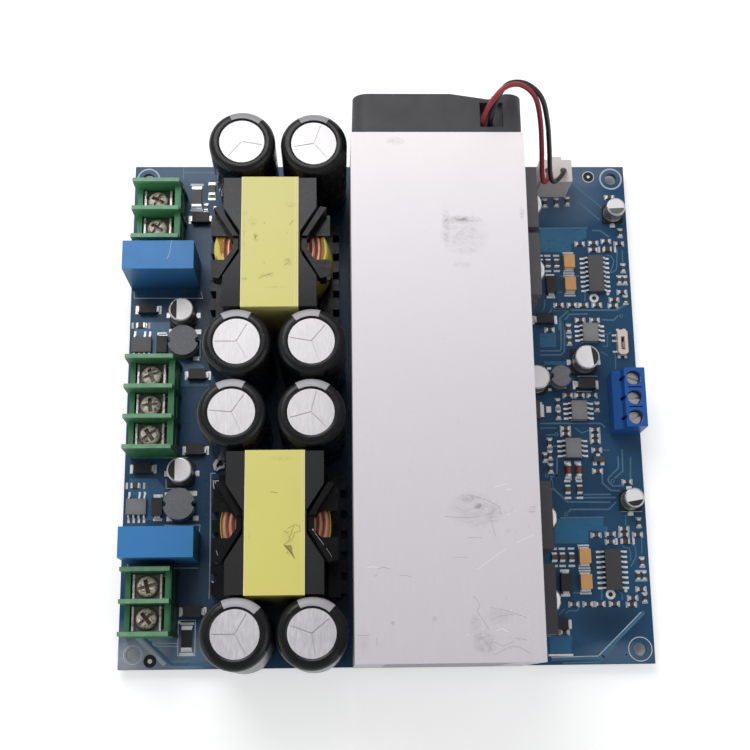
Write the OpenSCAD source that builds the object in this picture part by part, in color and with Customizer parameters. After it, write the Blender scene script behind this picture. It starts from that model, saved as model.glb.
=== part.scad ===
// Two-channel class D audio power amplifier board.
// A square circuit board carries a tunnel heatsink with a fan at its rear end,
// eight upright storage capacitors, two output inductors, screw terminals and surface-mounted parts.
// Origin: centre of the mounting-hole pattern on the underside of the board.
// +X runs towards the audio input, +Y towards the fan, +Z up from the board.

/* [Board] */
// Length of the circuit board from the fan end to the front
board_l = 130; // [128:0.5:132]
// Thickness of the circuit board
board_t = 1.6; // [1.5:0.1:2]
// Diameter of the four corner mounting holes
mount_d = 3.2; // [3:0.1:3.6]
// Width of the board left of the storage capacitors
left_strip = 20.9; // [20.9:0.1:24]
// Width of the board right of the heatsink
right_strip = 33.05; // [33.05:0.1:36]
// Distance from each board edge to the mounting-hole centres
mount_inset = 3.5; // [3.3:0.1:3.6]
// How far the soldered leads reach below the board
lead_out = 2; // [1.5:0.1:2.5]

/* [Heatsink] */
// Outer width of the tunnel heatsink
sink_w = 40.5; // [40:0.1:41]
// Height of the tunnel heatsink
sink_h = 41; // [40.5:0.5:42]
// Length of the tunnel heatsink
sink_l = 121; // [118:0.5:121]
// Thickness of its two side walls
sink_side = 6.5; // [6:0.1:7]
// Thickness of its top and bottom walls
sink_cap = 3; // [2.5:0.1:4]
// Number of fins across the tunnel
sink_fins = 9; // [7:1:9]
// Thickness of one fin
fin_t = 1; // [0.8:0.1:1.2]

/* [Fan] */
// Side of the square fan
fan_w = 40; // [40:0.1:40.5]
// Depth of the fan along the air stream
fan_t = 10; // [10:0.1:10.5]
// Wall of the fan frame where the duct is closest to its side
fan_wall = 1; // [0.8:0.1:1.5]
// Distance from the fan's sides to its screw holes
fan_hole_inset = 4; // [3.9:0.1:4.2]
// Diameter of the rotor hub
hub_d = 24; // [22:0.5:25]
// Number of rotor blades
blades = 7; // [5:1:7]
// Gap between blade tips and duct
tip_gap = 0.6; // [0.4:0.1:1]
// Diameter of the fan shaft
shaft_d = 2; // [1.8:0.1:2.2]
// Radial running gap between shaft and bearing
shaft_gap = 0.03; // [0.02:0.01:0.06]
// Diameter of each wire of the fan lead
wire_d = 1.3; // [1.1:0.1:1.4]

/* [Capacitors] */
// Outer diameter of a storage capacitor
bulk_d = 16; // [15.5:0.1:16]
// Clear width beside and between the two columns of storage capacitors
bulk_clear = 3.55; // [3.5:0.05:5]
// Height of a storage capacitor
bulk_h = 31.5; // [30:0.5:33]
// Lead spacing of a storage capacitor
bulk_pitch = 7.5; // [7:0.1:8]
// Height of the film capacitors
film_h = 16; // [14:0.5:17]

/* [Inductors] */
// Length of an inductor core
core_l = 32; // [31.5:0.1:32]
// Width of an inductor core
core_w = 22; // [21.5:0.1:22.5]
// Height of a complete core
core_h = 30.4; // [29:0.1:31]
// Thickness of the core's end walls
core_end = 2.25; // [2:0.05:2.4]
// Diameter of the core's centre post
post_d = 13.4; // [13:0.1:13.6]
// Width of the tape around the core
core_tape_w = 13.5; // [12:0.1:14]

/* [Terminals] */
// Pole pitch of the power terminals
term_pitch = 7.5; // [7.4:0.1:7.62]
// Depth of a power terminal across its barriers
term_w = 11.8; // [11.6:0.1:12]
// Height of the barriers between the poles
term_h = 12.8; // [12.5:0.1:13.5]
// Pole pitch of the audio input terminal
input_pitch = 5; // [5:0.04:5.08]
// Height of the audio input terminal
input_h = 10; // [10:0.1:10.4]

/* [Power transistors] */
// Width of a large transistor body
power_w = 15.6; // [15.4:0.1:16]
// Thickness of a large transistor body
power_t = 5; // [4.8:0.1:5.2]
// Height of the transistor screws above the board
power_screw_z = 20; // [19.5:0.1:20.5]

/* [Slide switch] */
// Travel of the switch knob
knob_travel = 1.5; // [1.2:0.1:1.6]

/* [Hidden] */

$fn = 48;
top = board_t;
// Clearance of a lead in its hole through the board
lead_gap = 0.15;
// Clearance of a fixed round piece in its seat
snug = 0.05;
// Clearance of a turning screw in its thread
screw_gap = 0.06;

// The board is as wide as what stands side by side on it
bulk_r = bulk_d / 2;
board_w = left_strip + 2 * bulk_d + bulk_clear + sink_w + right_strip;
left_x = -board_w / 2;
right_x = board_w / 2;
half_l = board_l / 2;
mount_pts = [for (x = [-1, 1]) for (y = [-1, 1]) [x * (right_x - mount_inset), y * (half_l - mount_inset)]];

// Heatsink position: front end flush with the front edge of the board
sink_right = right_x - right_strip;
sink_left = sink_right - sink_w;
sink_x = sink_right - sink_w / 2;
sink_y0 = -half_l - 0.2;
sink_y1 = sink_y0 + sink_l;
sink_top = top + sink_h;
sink_bore_w = sink_w - 2 * sink_side;
sink_bore_h = sink_h - 2 * sink_cap;
fin_pitch = sink_bore_h / (sink_fins + 1);
sink_screw_x = sink_w / 2 - sink_side / 2;
sink_screw_pts = [
  for (s = [-1, 1]) for (y = [sink_y0 + 23.2, sink_y1 - 17.8]) [sink_x + s * sink_screw_x, y]
];
m3_r = 1.5;
m3_head_r = 2.8;
m3_head_h = 1.9;

// Fan position: against the rear end of the heatsink
fan_x = sink_x + 0.3;
fan_bore = fan_w - 2 * fan_wall;
fan_pitch = fan_w - 2 * fan_hole_inset;
fan_z = top + 0.5 + fan_w / 2;
fan_screw_pts = [
  for (sx = [-1, 1]) for (sz = [-1, 1]) [fan_x + sx * fan_pitch / 2, fan_z + sz * fan_pitch / 2]
];
strut_t = 1.6;
hub_gap = 0.5;
hub_y0 = strut_t + hub_gap;
hub_y1 = fan_t - 0.6;
bearing_r = shaft_d / 2 + shaft_gap;
bearing_out = bearing_r + 1.2;
tube_r = bearing_out + 1.2;

// Rows of capacitors and inductors, one behind the other
row_mid = -0.35;
row_gap = 0.35;
row_b = row_mid + row_gap + bulk_r;
row_c = row_mid - row_gap - bulk_r;
coil_rear = row_b + bulk_r + 0.5 + core_l / 2;
coil_front = row_c - bulk_r - 1.1 - core_l / 2;
row_a = coil_rear + core_l / 2 + 1.4 + bulk_r;
row_d = coil_front - core_l / 2 - 0.5 - bulk_r;
// Gaps to the heatsink and between the two columns differ a little from row to row
col_near = sink_left - bulk_r;
col_far = col_near - bulk_d;
sleeve_t = 0.25;
bulk_pts = [
  [col_far - 2.05, row_a], [col_near - 0.75, row_a - 0.5],
  [col_far - 2.65, row_b], [col_near - 1.35, row_b],
  [col_far - bulk_clear, row_c], [col_near - 1.45, row_c - 0.1],
  [col_far - 2.05, row_d], [col_near - 1.25, row_d]
];
// Direction of each vent score, in degrees
bulk_turn = [-10, 190, 60, 170, 55, 75, 60, 40];
bulk_lead_pts = [for (p = bulk_pts) for (s = [-1, 1]) [p[0], p[1] + s * bulk_pitch / 2]];

film_pts = [[left_x + 8.9, 34.7], [left_x + 10.4, -36.2]];
film_w = 17.6;
film_d = 7.3;
film_pitch = 15;
film_lead_pts = [for (p = film_pts) for (s = [-1, 1]) [p[0] + s * film_pitch / 2, p[1]]];

rail_in = core_w / 2 + 0.8;
rail_out = rail_in + 4.6;
coil_pts = [[sink_left - 2.75 - rail_out, coil_rear], [sink_left - 1.15 - rail_out, coil_front]];
core_z0 = top + 0.8;
core_z1 = core_z0 + core_h;
core_plate = 4.5;
core_mid = core_z0 + core_h / 2;
window_r = core_l / 2 - core_end;
bobbin_r = post_d / 2 + 0.3;
flange_r = window_r - 0.55;
flange_t = 0.9;
coil_row = 2 * rail_out - 2.8;
coil_pin_pitch = 5;
coil_pin_pts = [for (p = coil_pts) for (s = [-1, 1]) for (i = [-2.5 : 1 : 2.5])
  [p[0] + s * coil_row / 2, p[1] + i * coil_pin_pitch]];
tape_t = 0.2;

// Power terminals: centre x, centre y, number of poles
rear_term = [left_x + 7.3, 48.5, 2];
supply_term = [left_x + 7, -1.6, 3];
front_term = [left_x + 7.6, -49.6, 2];
terms = [rear_term, supply_term, front_term];
function poles(t) = [for (i = [0 : t[2] - 1]) [t[0], t[1] + ((t[2] - 1) / 2 - i) * term_pitch]];
term_pole_pts = [for (t = terms) for (p = poles(t)) p];
term_floor = 5.6;
strip_t = 0.8;
clamp_t = 0.8;
// Half sizes of the clamp plates: they fit between the barriers
clamp_x = term_w / 2 - 2.4;
clamp_y = term_pitch / 2 - 0.85;
term_pin_x = clamp_x - 0.5;
term_pin_pts = [for (p = term_pole_pts) [p[0] + term_pin_x, p[1]]];
screw_turn = [62, 55, 20, 5, 35, 15, 40];

input_x = right_x - 7.8;
input_y = -0.7;
input_d = 7.4;
input_pole_x = input_x + 4.6;
input_poles = 3;
input_pole_pts = [for (i = [1 : -1 : -1]) [input_pole_x, input_y + i * input_pitch]];

plug_x = right_x - 20.1;
plug_y = 59.4;
plug_w = 8.4;
plug_d = 6.1;
plug_pitch = 3.96;
header_pts = [for (s = [-1, 1]) [plug_x + s * plug_pitch / 2, plug_y]];
plug_top = top + 10.4;

// Large transistors stand against the right wall of the heatsink
pad_t = 0.3;
power_gap = 1.6;
power_ys = [28.8 + power_w + power_gap, 28.8, -32, -33.4 - power_w - power_gap - 0.4];
reg_y = -12;
power_face = sink_right + pad_t;
power_out = power_face + power_t;
power_row = power_face + 2.9;
power_pitch = 5.45;
reg_pitch = 2.54;
power_lead_pts = [for (y = power_ys) for (i = [-1, 0, 1]) [power_row, y + i * power_pitch]];
reg_lead_pts = [for (i = [-1, 0, 1]) [power_face + 2.4, reg_y + i * reg_pitch]];
power_z0 = top + 4.5;
power_z1 = top + 25.4;

// Each entry: hole position and lead radius
holes = concat(
  [for (p = bulk_lead_pts) [p[0], p[1], 0.4]],
  [for (p = film_lead_pts) [p[0], p[1], 0.4]],
  [for (p = coil_pin_pts) [p[0], p[1], 0.45]],
  [for (p = term_pin_pts) [p[0], p[1], 0.6]],
  [for (p = input_pole_pts) [p[0], p[1], 0.5]],
  [for (p = header_pts) [p[0], p[1], 0.5]],
  [for (p = power_lead_pts) [p[0], p[1], 0.6]],
  [for (p = reg_lead_pts) [p[0], p[1], 0.45]]
);

// The two driver channels have the same layout
chan_pts = [[right_x - 9.2, 34.5], [right_x - 9.2, -42.3]];
// The two small supplies have the same layout
aux_pts = [[left_x + 10, 16], [left_x + 10, -25.5]];
op_pts = [[right_x - 11.5, 18.5], [right_x - 15.5, -2.1], [right_x - 17.5, -11.8]];

// Small chips, each with x, y and 0 for lying across, 1 for lying front to rear
chan_chips = [
  [-3.6, 8.6, 0], [0, 8.8, 0], [6.8, 8.6, 0], [-0.1, 6.9, 0],
  [7.3, 11.6, 1], [7.5, 1.8, 1], [6.3, -1.5, 1], [7.8, -1.5, 1], [6.8, -4.8, 0],
  [7.6, -6.9, 1], [4.6, -6.9, 0], [-10, -8.3, 0], [-6.5, -8.3, 0], [-3.6, -8.3, 0],
  [0, -8.3, 0], [4.2, -8.5, 0], [-12.7, -15, 0]
];
// Loose chips: distance from the right edge of the board, y and direction
loose_right = [
  [5.8, 43.8, 0], [5.7, -32.2, 0], [5.8, -33.7, 0], [21.5, 54.6, 1], [18.4, 54.8, 1], [15.5, 55.1, 1],
  [4.2, 56.2, 0], [13.8, 22.1, 0], [10, 22.1, 0], [16.9, 19.8, 1], [16.9, 16.6, 1], [18, 2, 0],
  [15, 2, 0], [11.8, 2, 0], [20.7, 0, 1], [20.7, -3, 1], [10.7, -1, 1], [19.1, -6.6, 0],
  [19.1, -8, 0], [11.6, -7, 0], [11.6, -8.5, 0], [11.6, -9.9, 0], [23.3, -10.3, 1], [24.6, -14, 1],
  [23.3, -13.4, 1], [23.3, -16.8, 1], [11.4, -12.2, 0], [11.5, -17.6, 0], [4.2, -20.4, 0]
];
loose_chips = concat(
  [for (c = loose_right) [right_x - c[0], c[1], c[2]]],
  [[left_x + 18.8, 53.4, 1]]
);
// Larger chips: 2 mm by 1.25 mm
chan_big = [[-12.3, 3.2, 1], [-10, 3.2, 1], [-14.3, 3.2, 1], [3.6, 7, 0]];
loose_big = [[right_x - 19.3, -22.2, 1], [right_x - 16.3, -22.2, 1]];
aux_big = [[-7.2, 5.1, 0]];

chips = concat(
  [for (c = chan_pts) for (p = chan_chips) [c[0] + p[0], c[1] + p[1], p[2]]],
  loose_chips
);
big_chips = concat(
  [for (c = chan_pts) for (p = chan_big) [c[0] + p[0], c[1] + p[1], p[2]]],
  loose_big,
  [for (c = aux_pts) for (p = aux_big) [c[0] + p[0], c[1] + p[1], p[2]]]
);
tall_chips = [[left_x + 20.3, 58.4, 1]];
resistor_pts = [[left_x + 16.3, 56.3, 1], [left_x + 16.4, -57.8, 1]];
tantalum_pts = [for (c = chan_pts) for (p = [[-6.9, 3.3], [-6.9, -2.9]]) [c[0] + p[0], c[1] + p[1], 1]];
diode_pts = concat(
  [for (c = aux_pts) for (p = [[-5.4, 9.3, 0], [-1.5, -0.4, 1]]) [c[0] + p[0], c[1] + p[1], p[2]]],
  [for (c = chan_pts) for (p = [[-11.9, -3.1, 1]]) [c[0] + p[0], c[1] + p[1], p[2]]],
  [for (c = [[17.6, 50], [17.6, 7.8], [17.5, -11.6], [17.7, -51.4]]) [left_x + c[0], c[1], 0]],
  [for (c = [[23.1, 22.2], [23.3, -55.4], [13.3, 4.8]]) [right_x - c[0], c[1], 0]]
);
glass_pts = [[right_x - 19, -17.4], [right_x - 16.4, -17.4]];
// Small can capacitors: x, y, can diameter and direction of the leads
can_pts = [
  [left_x + 13.6, 23.8, 6.3, 0], [left_x + 14.2, -17.4, 6.3, 0], [right_x - 13.5, 10.8, 6.3, 0],
  [right_x - 26.4, 5.6, 6.3, 0], [right_x - 3.8, 51.4, 5, 1], [right_x - 3.8, -25.2, 5, 1]
];
can_h = 5.6;
// Small inductors: x, y, diameter
drum_pts = [[left_x + 14.1, 16, 7.8], [left_x + 14.1, -25.6, 7.8], [right_x - 20.2, 6.2, 5.4]];
switch_at = [right_x - 3.4, 15.7];
sot_at = [right_x - 11.1, -14.6];
tab_at = [right_x - 27.4, -2];

module rsq(w, h, r) {
  square([w - 2 * r, h], center = true);
  square([w, h - 2 * r], center = true);
  for (x = [-1, 1]) for (y = [-1, 1])
    translate([x * (w / 2 - r), y * (h / 2 - r)]) circle(r = r);
}
module block(x0, x1, y0, y1, z0, z1) {
  translate([x0, y0, z0]) cube([x1 - x0, y1 - y0, z1 - z0]);
}
// Cylinder along Y from y0 to y1
module ycyl(x, z, y0, y1, r) {
  translate([x, y1, z]) rotate([90, 0, 0]) cylinder(r = r, h = y1 - y0);
}
// Cylinder along X from x0 to x1
module xcyl(y, z, x0, x1, r) {
  translate([x0, y, z]) rotate([0, 90, 0]) cylinder(r = r, h = x1 - x0);
}
// Round lead from below the board up to the height z1
module lead(p, r, z1) {
  translate([p[0], p[1], -lead_out]) cylinder(r = r, h = lead_out + z1, $fn = 24);
}
// Turn a chip-like shape and set it on the board
module seat(p) {
  translate([p[0], p[1], top]) rotate([0, 0, p[2] == 1 ? 90 : 0]) children();
}

module circuit_board() {
  color([0.06, 0.2, 0.42])
  difference() {
    translate([left_x, -half_l, 0]) cube([board_w, board_l, board_t]);
    for (p = mount_pts) translate([p[0], p[1], -1]) cylinder(d = mount_d, h = board_t + 2);
    for (h = holes) translate([h[0], h[1], -1]) cylinder(r = h[2] + lead_gap, h = board_t + 2, $fn = 24);
    for (p = sink_screw_pts) translate([p[0], p[1], -1]) cylinder(r = m3_r + lead_gap, h = board_t + 2);
  }
}

module solder_joints() {
  color([0.75, 0.75, 0.77])
  for (h = holes) translate([h[0], h[1], 0]) rotate_extrude($fn = 24)
    polygon([
      [h[2] + 0.02, 0], [h[2] + 0.9, 0], [h[2] + 0.5, -0.5], [h[2] + 0.1, -1.3], [h[2] + 0.02, -1.3]
    ]);
}

// Tunnel section: two thick side walls joined by the caps and the fins
module sink_section() {
  difference() {
    translate([-sink_w / 2, 0]) square([sink_w, sink_h]);
    for (i = [0 : sink_fins])
      translate([-sink_bore_w / 2, sink_cap + i * fin_pitch + (i == 0 ? 0 : fin_t / 2)])
        square([sink_bore_w, fin_pitch - (i == 0 || i == sink_fins ? fin_t / 2 : fin_t)]);
  }
}
module heatsink() {
  color([0.86, 0.85, 0.87])
  difference() {
    translate([sink_x, sink_y1, top]) rotate([90, 0, 0]) linear_extrude(sink_l) sink_section();
    for (p = sink_screw_pts) translate([p[0], p[1], top - 1]) cylinder(r = m3_r + snug, h = 8);
    for (y = power_ys) xcyl(y, top + power_screw_z, sink_right - 6, sink_right + 1, m3_r + snug);
    xcyl(reg_y, top + power_screw_z, sink_right - 6, sink_right + 1, m3_r + snug);
    for (p = fan_screw_pts) ycyl(p[0], p[1], sink_y1 - 9, sink_y1 + 1, m3_r + snug);
  }
}
// Pan-head screw pointing up from z = 0, with a cross recess in its head below
module pan_screw(len, r, head_r, head_h) {
  difference() {
    union() {
      cylinder(r = r, h = len);
      rotate_extrude() intersection() {
        translate([0, -head_h]) square([head_r, head_h]);
        translate([0, head_r * 1.15 - head_h]) circle(r = head_r * 1.15);
      }
    }
    translate([0, 0, -head_h - 1]) for (a = [0, 90]) rotate([0, 0, a])
      translate([-head_r * 0.6, -0.35, 0]) cube([head_r * 1.2, 0.7, 1 + head_h * 0.5]);
  }
}
module heatsink_screws() {
  color([0.7, 0.7, 0.72])
  for (p = sink_screw_pts) translate([p[0], p[1], 0]) pan_screw(board_t + 6, m3_r, m3_head_r, m3_head_h);
}

// Fan drawn with its air stream along +Z of its own frame, then laid along Y
module fan_place() {
  translate([fan_x, sink_y1, fan_z]) rotate([-90, 0, 0]) children();
}
// Angle of the strut that carries the fan lead, seen from the front
lead_turn = 52;
channel_w = 2 * wire_d + 0.3;
notch_x = 9.9;
notch_w = channel_w + 0.3;
notch_low = notch_x + 2.1;
// The notch stops short of the rear rim, whose rear face falls away behind it
notch_top = fan_t - 2.2;
rim_fall = 1.4;
tube_h = hub_y0 + 4.5;
module fan_frame() {
  color([0.13, 0.13, 0.14])
  fan_place() difference() {
    union() {
      difference() {
        linear_extrude(fan_t) rsq(fan_w, fan_w, 3.5);
        translate([0, 0, -1]) cylinder(d = fan_bore, h = fan_t + 2, $fn = 96);
      }
      cylinder(d = hub_d, h = strut_t, $fn = 64);
      cylinder(r = tube_r, h = tube_h);
      intersection() {
        cylinder(d = fan_bore + 1, h = strut_t, $fn = 96);
        for (a = [0, 90, 180, 270]) rotate([0, 0, a - lead_turn])
          translate([0, -channel_w / 2 - 0.5, 0]) cube([fan_bore, channel_w + 1, strut_t]);
      }
    }
    translate([0, 0, -1]) cylinder(r = bearing_out + snug, h = fan_t + 2);
    for (x = [-1, 1]) for (y = [-1, 1])
      translate([x * fan_pitch / 2, y * fan_pitch / 2, -1]) cylinder(r = m3_r + 0.2, h = fan_t + 2);
    // Wire channel along one strut, then a notch up through the top wall
    rotate([0, 0, -lead_turn]) translate([8, -channel_w / 2, 0.3])
      cube([fan_w / 2 - 8, channel_w, notch_top - 0.3]);
    translate([notch_x, -fan_w / 2 + 2, 0.6]) cube([notch_w, 4, notch_top - 0.6]);
    translate([notch_x, -fan_w / 2 - 1, strut_t]) cube([notch_w, 4, notch_top - strut_t]);
    translate([notch_x, -fan_w / 2 - 1, strut_t]) cube([notch_w + 2.2, 2.4, notch_top - strut_t]);
    // Rear rim falls away towards the notch and comes back beyond it, clear of the screw's head
    translate([0, 0, fan_t]) rotate([90, 0, 0]) {
      translate([0, 0, fan_w / 2 - 5]) linear_extrude(6)
        polygon([[3, 0], [notch_low, -rim_fall], [notch_low + 1, -1.05], [notch_low + 1, 1], [3, 1]]);
      translate([0, 0, fan_w / 2 - 1.1]) linear_extrude(2)
        polygon([[notch_low + 0.9, -1.05], [notch_low + 4, 0], [notch_low + 4, 1], [notch_low + 0.9, 1]]);
    }
    // Open corners between the flange screws
    for (a = [0, 90, 180]) rotate([0, 0, a])
      translate([fan_w / 2 - 1.2, -7, 2.5]) cube([2, 14, fan_t - 5]);
  }
}
module fan_bearing() {
  color([0.72, 0.55, 0.25])
  fan_place() difference() {
    cylinder(r = bearing_out, h = tube_h);
    translate([0, 0, -1]) cylinder(r = bearing_r, h = fan_t);
  }
}
// Four-pole stator: iron core on the bearing tube with a wound coil on each arm
stator_z0 = hub_y0 + 1.1;
stator_z1 = hub_y0 + 3.5;
magnet_in = hub_d / 2 - 2.2;
stator_r = magnet_in - 0.5;
module fan_stator() {
  color([0.55, 0.36, 0.25])
  fan_place() {
    difference() {
      union() {
        translate([0, 0, stator_z0]) cylinder(r = tube_r + 1.2, h = stator_z1 - stator_z0);
        intersection() {
          translate([0, 0, stator_z0]) cylinder(r = stator_r, h = stator_z1 - stator_z0, $fn = 64);
          union() {
            for (a = [0, 90]) rotate([0, 0, a])
              block(-stator_r - 1, stator_r + 1, -1.2, 1.2, stator_z0, stator_z1);
            for (a = [0, 90, 180, 270]) rotate([0, 0, a])
              block(stator_r - 1.6, stator_r + 1, -4.6, 4.6, stator_z0, stator_z1);
          }
        }
      }
      translate([0, 0, stator_z0 - 1]) cylinder(r = tube_r + snug, h = 6);
    }
    for (a = [0, 90, 180, 270]) rotate([0, 0, a]) difference() {
      block(tube_r + 1.7, stator_r - 1.8, -2, 2, stator_z0 - 0.8, stator_z1 + 0.8);
      block(tube_r, stator_r, -1.2, 1.2, stator_z0, stator_z1);
    }
  }
}
// Blade section: a cambered plate, tangential along x and axial along y
blade_len = hub_y1 - hub_y0 - 0.4;
function camber(t) = 1.4 * sin(180 * t);
function blade_z(t) = t * blade_len * 0.9 + camber(t) * 0.6 + 0.2;
blade_pts = concat(
  [for (i = [0 : 8]) [(i / 8 - 0.5) * 7.5, blade_z(i / 8)]],
  [for (i = [8 : -1 : 0]) [(i / 8 - 0.5) * 7.5 + 0.5, blade_z(i / 8) - 0.4]]
);
module fan_rotor() {
  color([0.1, 0.1, 0.11])
  fan_place() {
    difference() {
      union() {
        translate([0, 0, hub_y0]) cylinder(d = hub_d, h = hub_y1 - hub_y0, $fn = 64);
        intersection() {
          translate([0, 0, hub_y0]) cylinder(r = fan_bore / 2 - tip_gap, h = hub_y1 - hub_y0, $fn = 96);
          for (i = [0 : blades - 1]) rotate([0, 0, i * 360 / blades])
            translate([hub_d / 2 - 1, 0, hub_y0 + 0.4]) rotate([90, 0, 90])
              linear_extrude(fan_bore / 2 - hub_d / 2 + 1) polygon(blade_pts);
        }
      }
      translate([0, 0, hub_y0 - 1]) cylinder(d = hub_d - 2, h = 6.1, $fn = 64);
      cylinder(r = shaft_d / 2, h = hub_y0 + 6.4);
    }
  }
}
module fan_magnet() {
  color([0.3, 0.28, 0.27])
  fan_place() translate([0, 0, hub_y0 + 0.5]) difference() {
    cylinder(d = hub_d - 2, h = 4.6, $fn = 64);
    translate([0, 0, -1]) cylinder(r = magnet_in, h = 7, $fn = 64);
  }
}
module fan_shaft() {
  color([0.75, 0.75, 0.77])
  fan_place() translate([0, 0, 0.3]) cylinder(d = shaft_d, h = hub_y0 + 6.4 - 0.3);
}
module fan_screws() {
  color([0.12, 0.12, 0.13])
  for (p = fan_screw_pts) translate([p[0], sink_y1 + fan_t, p[1]]) rotate([90, 0, 0])
    pan_screw(fan_t + 8, m3_r, 2.6, 1.4);
}

// Round wire swept along hand-set points with a smooth curve through them
function cat(p0, p1, p2, p3, t) = 0.5 * ((2 * p1) + (p2 - p0) * t
  + (2 * p0 - 5 * p1 + 4 * p2 - p3) * t * t + (3 * p1 - p0 - 3 * p2 + p3) * t * t * t);
function route(p, n) = [for (i = [0 : len(p) - 2]) for (k = [0 : n - 1])
  cat(p[max(i - 1, 0)], p[i], p[i + 1], p[min(i + 2, len(p) - 1)], k / n)];
function unit(v) = v / norm(v);
function tangent(q, i) = unit(q[min(i + 1, len(q) - 1)] - q[max(i - 1, 0)]);
side_ref = [0.2, -0.95, 0.25];
module sweep(q, r, n) {
  m = len(q);
  pts = [for (i = [0 : m - 1])
    let (t = tangent(q, i), u = unit(cross(t, side_ref)), v = cross(t, u))
      for (k = [0 : n - 1]) q[i] + r * (cos(360 * k / n) * u + sin(360 * k / n) * v)];
  faces = concat(
    [[for (k = [0 : n - 1]) k]],
    [for (i = [0 : m - 2]) for (k = [0 : n - 1])
      [i * n + k, (i + 1) * n + k, (i + 1) * n + (k + 1) % n, i * n + (k + 1) % n]],
    [[for (k = [n - 1 : -1 : 0]) (m - 1) * n + k]]
  );
  polyhedron(points = pts, faces = faces, convexity = 6);
}
// Each wire runs from the motor along its strut, out of the notch and over to the plug
lead_z = top + 8.4;
red_route = [
  [16.7, 56.8, 29.2], [19.5, 56.8, 32.8], [22.4, 56.8, 36.5], [22.8, 57.5, 38.4], [22.7, 58.6, 41],
  [22.8, 59.4, 44], [24, 61, 47.2], [27, 64, 48.8], [31, 65.4, 47.5],
  [35, 64.6, 43], [37.4, 62.4, 35], [39.2, 59.6, 25], [40.4, 56.8, 17], [41.2, 55.4, 14.2],
  [42.4, 56.4, 13.6], [42.9, 58.6, 13.2], [header_pts[0][0], plug_y, 12], [header_pts[0][0], plug_y, lead_z]
];
black_route = [
  [17.8, 56.8, 28.4], [20.6, 56.8, 31.9], [23.6, 56.8, 35.8], [24.3, 57.4, 37.8], [24.3, 58.6, 40.8],
  [24.5, 59.6, 44], [25.4, 62, 46.6], [28, 65.6, 47.4], [32.4, 66.4, 46.2],
  [36.6, 64.8, 42.4], [39.2, 62.2, 34.6], [41.1, 59.2, 25], [42.3, 56.4, 18], [43.4, 55, 15.4],
  [45.2, 56.2, 14.4], [46.8, 58.6, 13.4], [header_pts[1][0], plug_y, 12], [header_pts[1][0], plug_y, lead_z]
];
module fan_lead_red() {
  color([0.7, 0.1, 0.13]) sweep(route(red_route, 3), wire_d / 2, 8);
}
module fan_lead_black() {
  color([0.1, 0.1, 0.1]) sweep(route(black_route, 3), wire_d / 2, 8);
}
header_h = 7;
module fan_plug() {
  color([0.88, 0.86, 0.84])
  difference() {
    union() {
      translate([plug_x, plug_y, top + 2])
        linear_extrude(plug_top - top - 2) rsq(plug_w - 1.6, plug_d - 2.2, 0.4);
      translate([plug_x, plug_y, top + header_h])
        linear_extrude(plug_top - top - header_h) rsq(plug_w, plug_d, 0.4);
      translate([plug_x - 1.6, plug_y + plug_d / 2 - 0.2, plug_top - 3.2]) cube([3.2, 1, 3.2]);
    }
    for (p = header_pts) translate([p[0] - 1, p[1] - 1, top + 1]) cube([2, 2, 7.6]);
    for (p = header_pts) translate([p[0], p[1], top + 8]) cylinder(r = wire_d / 2 + 0.15, h = 5);
  }
}
module fan_header() {
  color([0.85, 0.83, 0.8])
  difference() {
    translate([plug_x, plug_y, top]) linear_extrude(header_h) rsq(plug_w, plug_d, 0.4);
    translate([plug_x, plug_y, top + 1.6]) linear_extrude(header_h) rsq(plug_w - 1.4, plug_d - 2, 0.4);
    for (p = header_pts) translate([p[0], p[1], top - 1]) cylinder(r = 0.5 + snug, h = 4);
  }
}
// Header pins and the crimped sockets of the plug, which end at the wires
module fan_contacts() {
  color([0.8, 0.78, 0.7])
  for (p = header_pts) {
    lead(p, 0.5, top + 6);
    difference() {
      translate([p[0] - 0.9, p[1] - 0.9, top + 2.4]) cube([1.8, 1.8, 6]);
      translate([p[0], p[1], top + 1]) cylinder(r = 0.5 + snug, h = 5.5, $fn = 24);
    }
  }
}

// Storage capacitor: can with a scored top, set by its turn angle
module can(turn) {
  r = bulk_r - sleeve_t;
  difference() {
    rotate_extrude($fn = 64) difference() {
      union() {
        translate([0, 0.5]) square([r, bulk_h - sleeve_t - 2]);
        square([r - 1.5, bulk_h - sleeve_t]);
        translate([r - 1.5, bulk_h - sleeve_t - 1.5]) circle(r = 1.5);
      }
      translate([-5, 0]) square([5, 50]);
      translate([r + 0.5, 3.2]) circle(r = 1);
    }
    for (a = [0, 120, 240]) rotate([0, 0, a + turn])
      translate([0, -0.12, bulk_h - sleeve_t - 0.25]) cube([4.9, 0.24, 1]);
    for (s = [-1, 1]) translate([0, s * bulk_pitch / 2, -1]) cylinder(r = 0.4, h = 3, $fn = 24);
  }
}
module storage_capacitors() {
  color([0.87, 0.86, 0.88])
  for (i = [0 : 7]) translate([bulk_pts[i][0], bulk_pts[i][1], top]) can(bulk_turn[i]);
}
module sleeve() {
  r = bulk_r;
  rotate_extrude($fn = 64) difference() {
    union() {
      translate([5.9, 0.2]) square([r - 5.9, bulk_h - 1.9]);
      translate([5.9, bulk_h - 2]) square([r - 5.9 - 1.7, 2]);
      translate([r - 1.7, bulk_h - 1.7]) circle(r = 1.7);
    }
    translate([0, -1]) square([r - sleeve_t, bulk_h - 0.75]);
    translate([0, -1]) square([r - 1.75, bulk_h + 1 - sleeve_t]);
    translate([r - 1.75, bulk_h - 1.75]) circle(r = 1.5);
  }
}
module capacitor_sleeves() {
  color([0.09, 0.09, 0.1])
  for (p = bulk_pts) translate([p[0], p[1], top]) sleeve();
}
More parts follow.
